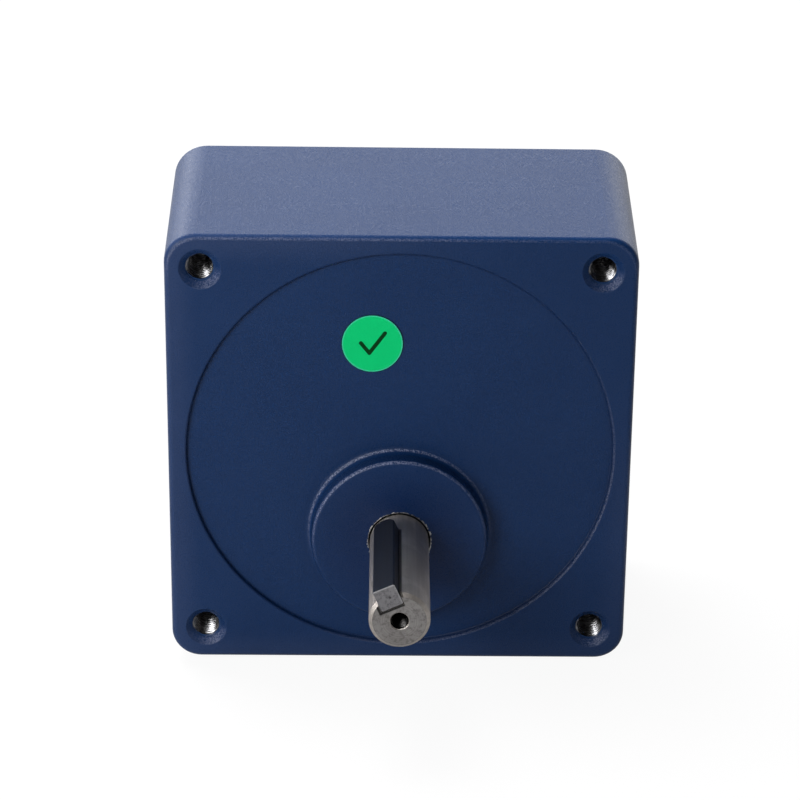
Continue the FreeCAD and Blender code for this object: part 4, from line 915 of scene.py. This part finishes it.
soft_light("left_box", place=(-0.185, -0.205, 0.115), width=0.17, height=0.17, power=0.74)
soft_light("top_box", place=(-0.20, 0.25, 0.70), width=0.40, height=0.40, power=11.2, mirrored=False)
soft_light("rear_box", place=(-0.42, 0.50, 0.42), width=0.60, height=0.60, power=2.8)
soft_light("right_box", place=(0.50, 0.60, 0.30), width=0.60, height=0.60, power=0.9)
soft_light("back_panel", place=(0.0, 0.80, 0.34), width=1.2, height=0.5, power=1.5)


def backdrop_share(tree):
    """The Light Path, and one for rays that see the backdrop as a picture: from the camera, in a reflection
    or through glass."""
    path = add(tree, "ShaderNodeLightPath").outputs
    seen = total(tree, path["Is Camera Ray"], path["Is Glossy Ray"])
    return path, calc(tree, "ADD", seen, path["Is Transmission Ray"], clamp=True)


def white_room():
    """A white studio: white to the camera, and in reflections palest behind, then on the left."""
    white, ambient_tone, ambient_strength = rgb(1.0, 1.0, 1.0), rgb(0.95, 0.97, 1.0), 0.29
    behind_span, behind_shares = (0.1, 0.7), (0.02, 0.85)
    upper_span, upper_shares = (0.45, 0.7), (1.0, 0.1)
    left_span, left_shares = (-0.95, 0.1), (0.2, 0.0)
    world = bpy.data.worlds.new("white_room")
    world.use_nodes = True
    tree = world.node_tree
    tree.nodes.clear()
    path, seen = backdrop_share(tree)
    x, y, z = axes(tree, add(tree, "ShaderNodeTexCoord").outputs["Generated"])
    behind = product(tree, ramp(tree, y, behind_span, behind_shares), ramp(tree, z, upper_span, upper_shares))
    room = total(tree, behind, ramp(tree, x, left_span, left_shares))
    strength = level(tree, path["Is Camera Ray"], room, WHITE_STRENGTH)
    backdrop = add(tree, "ShaderNodeBackground", {"Color": white, "Strength": strength})
    ambient = add(tree, "ShaderNodeBackground", {"Color": ambient_tone, "Strength": ambient_strength})
    mix = add(tree, "ShaderNodeMixShader", {0: seen, 1: ambient.outputs[0], 2: backdrop.outputs[0]})
    add(tree, "ShaderNodeOutputWorld", {"Surface": mix.outputs[0]})
    bpy.context.scene.world = world


def pale_floor():
    """A wide white floor just under the casting, bright to the camera apart from the shadow that falls on it.
    In reflections it is dimmer in front of the part than behind."""
    half_side, gap = 3.0, 0.1 * MM
    white, grey = rgb(1.0, 1.0, 1.0), rgb(0.6, 0.6, 0.6)
    depth_span, depth_shares = (-0.015, 0.02), (0.28, 0.85)
    seen_share = 0.93
    up = cad_box[0][2] - gap
    turns = ((-1, -1), (1, -1), (1, 1), (-1, 1))
    mesh = bpy.data.meshes.new("floor")
    mesh.from_pydata([(x * half_side, y * half_side, up) for x, y in turns], [], [(0, 1, 2, 3)])
    finish, tree, shader, place = new_finish("floor_white", Base_Color=grey, Roughness=0.9)
    path, seen = backdrop_share(tree)
    mirrored = ramp(tree, axes(tree, place)["Y"], depth_span, depth_shares)
    strength = level(tree, path["Is Camera Ray"], mirrored, WHITE_STRENGTH)
    glow = add(tree, "ShaderNodeEmission", {"Color": white, "Strength": strength})
    share = product(tree, seen, seen_share)
    mix = add(tree, "ShaderNodeMixShader", {0: share, 1: shader.outputs[0], 2: glow.outputs[0]})
    tree.links.new(mix.outputs[0], tree.nodes["Material Output"].inputs["Surface"])
    mesh.materials.append(finish)
    floor = bpy.data.objects.new("floor", mesh)
    bpy.context.scene.collection.objects.link(floor)


def photo_camera():
    """The camera that was fitted to the photograph: it looks along +Y and down, a little past the side of the
    part, and the shift brings the part back to the middle of the picture."""
    yaw, pitch, roll = (math.radians(angle) for angle in CAMERA_ANGLES)
    forward = Vector((math.sin(yaw) * math.cos(pitch), math.cos(yaw) * math.cos(pitch), -math.sin(pitch)))
    level_right = Vector((math.cos(yaw), -math.sin(yaw), 0.0))
    level_up = level_right.cross(forward)
    right = math.cos(roll) * level_right + math.sin(roll) * level_up
    up = math.cos(roll) * level_up - math.sin(roll) * level_right
    lens = bpy.data.cameras.new("photo_camera")
    lens.lens = LENS
    lens.sensor_width = SENSOR
    lens.sensor_fit = "HORIZONTAL"
    lens.shift_x = SIDE_SHIFT
    lens.clip_start = CLIP_NEAR
    lens.clip_end = CLIP_FAR
    camera = bpy.data.objects.new("photo_camera", lens)
    place = Matrix((right, up, -forward)).transposed().to_4x4()
    place.translation = CAMERA_PLACE
    camera.matrix_world = place
    bpy.context.scene.collection.objects.link(camera)
    bpy.context.scene.camera = camera


white_room()
pale_floor()
photo_camera()
bpy.context.scene.view_settings.view_transform = "Standard"
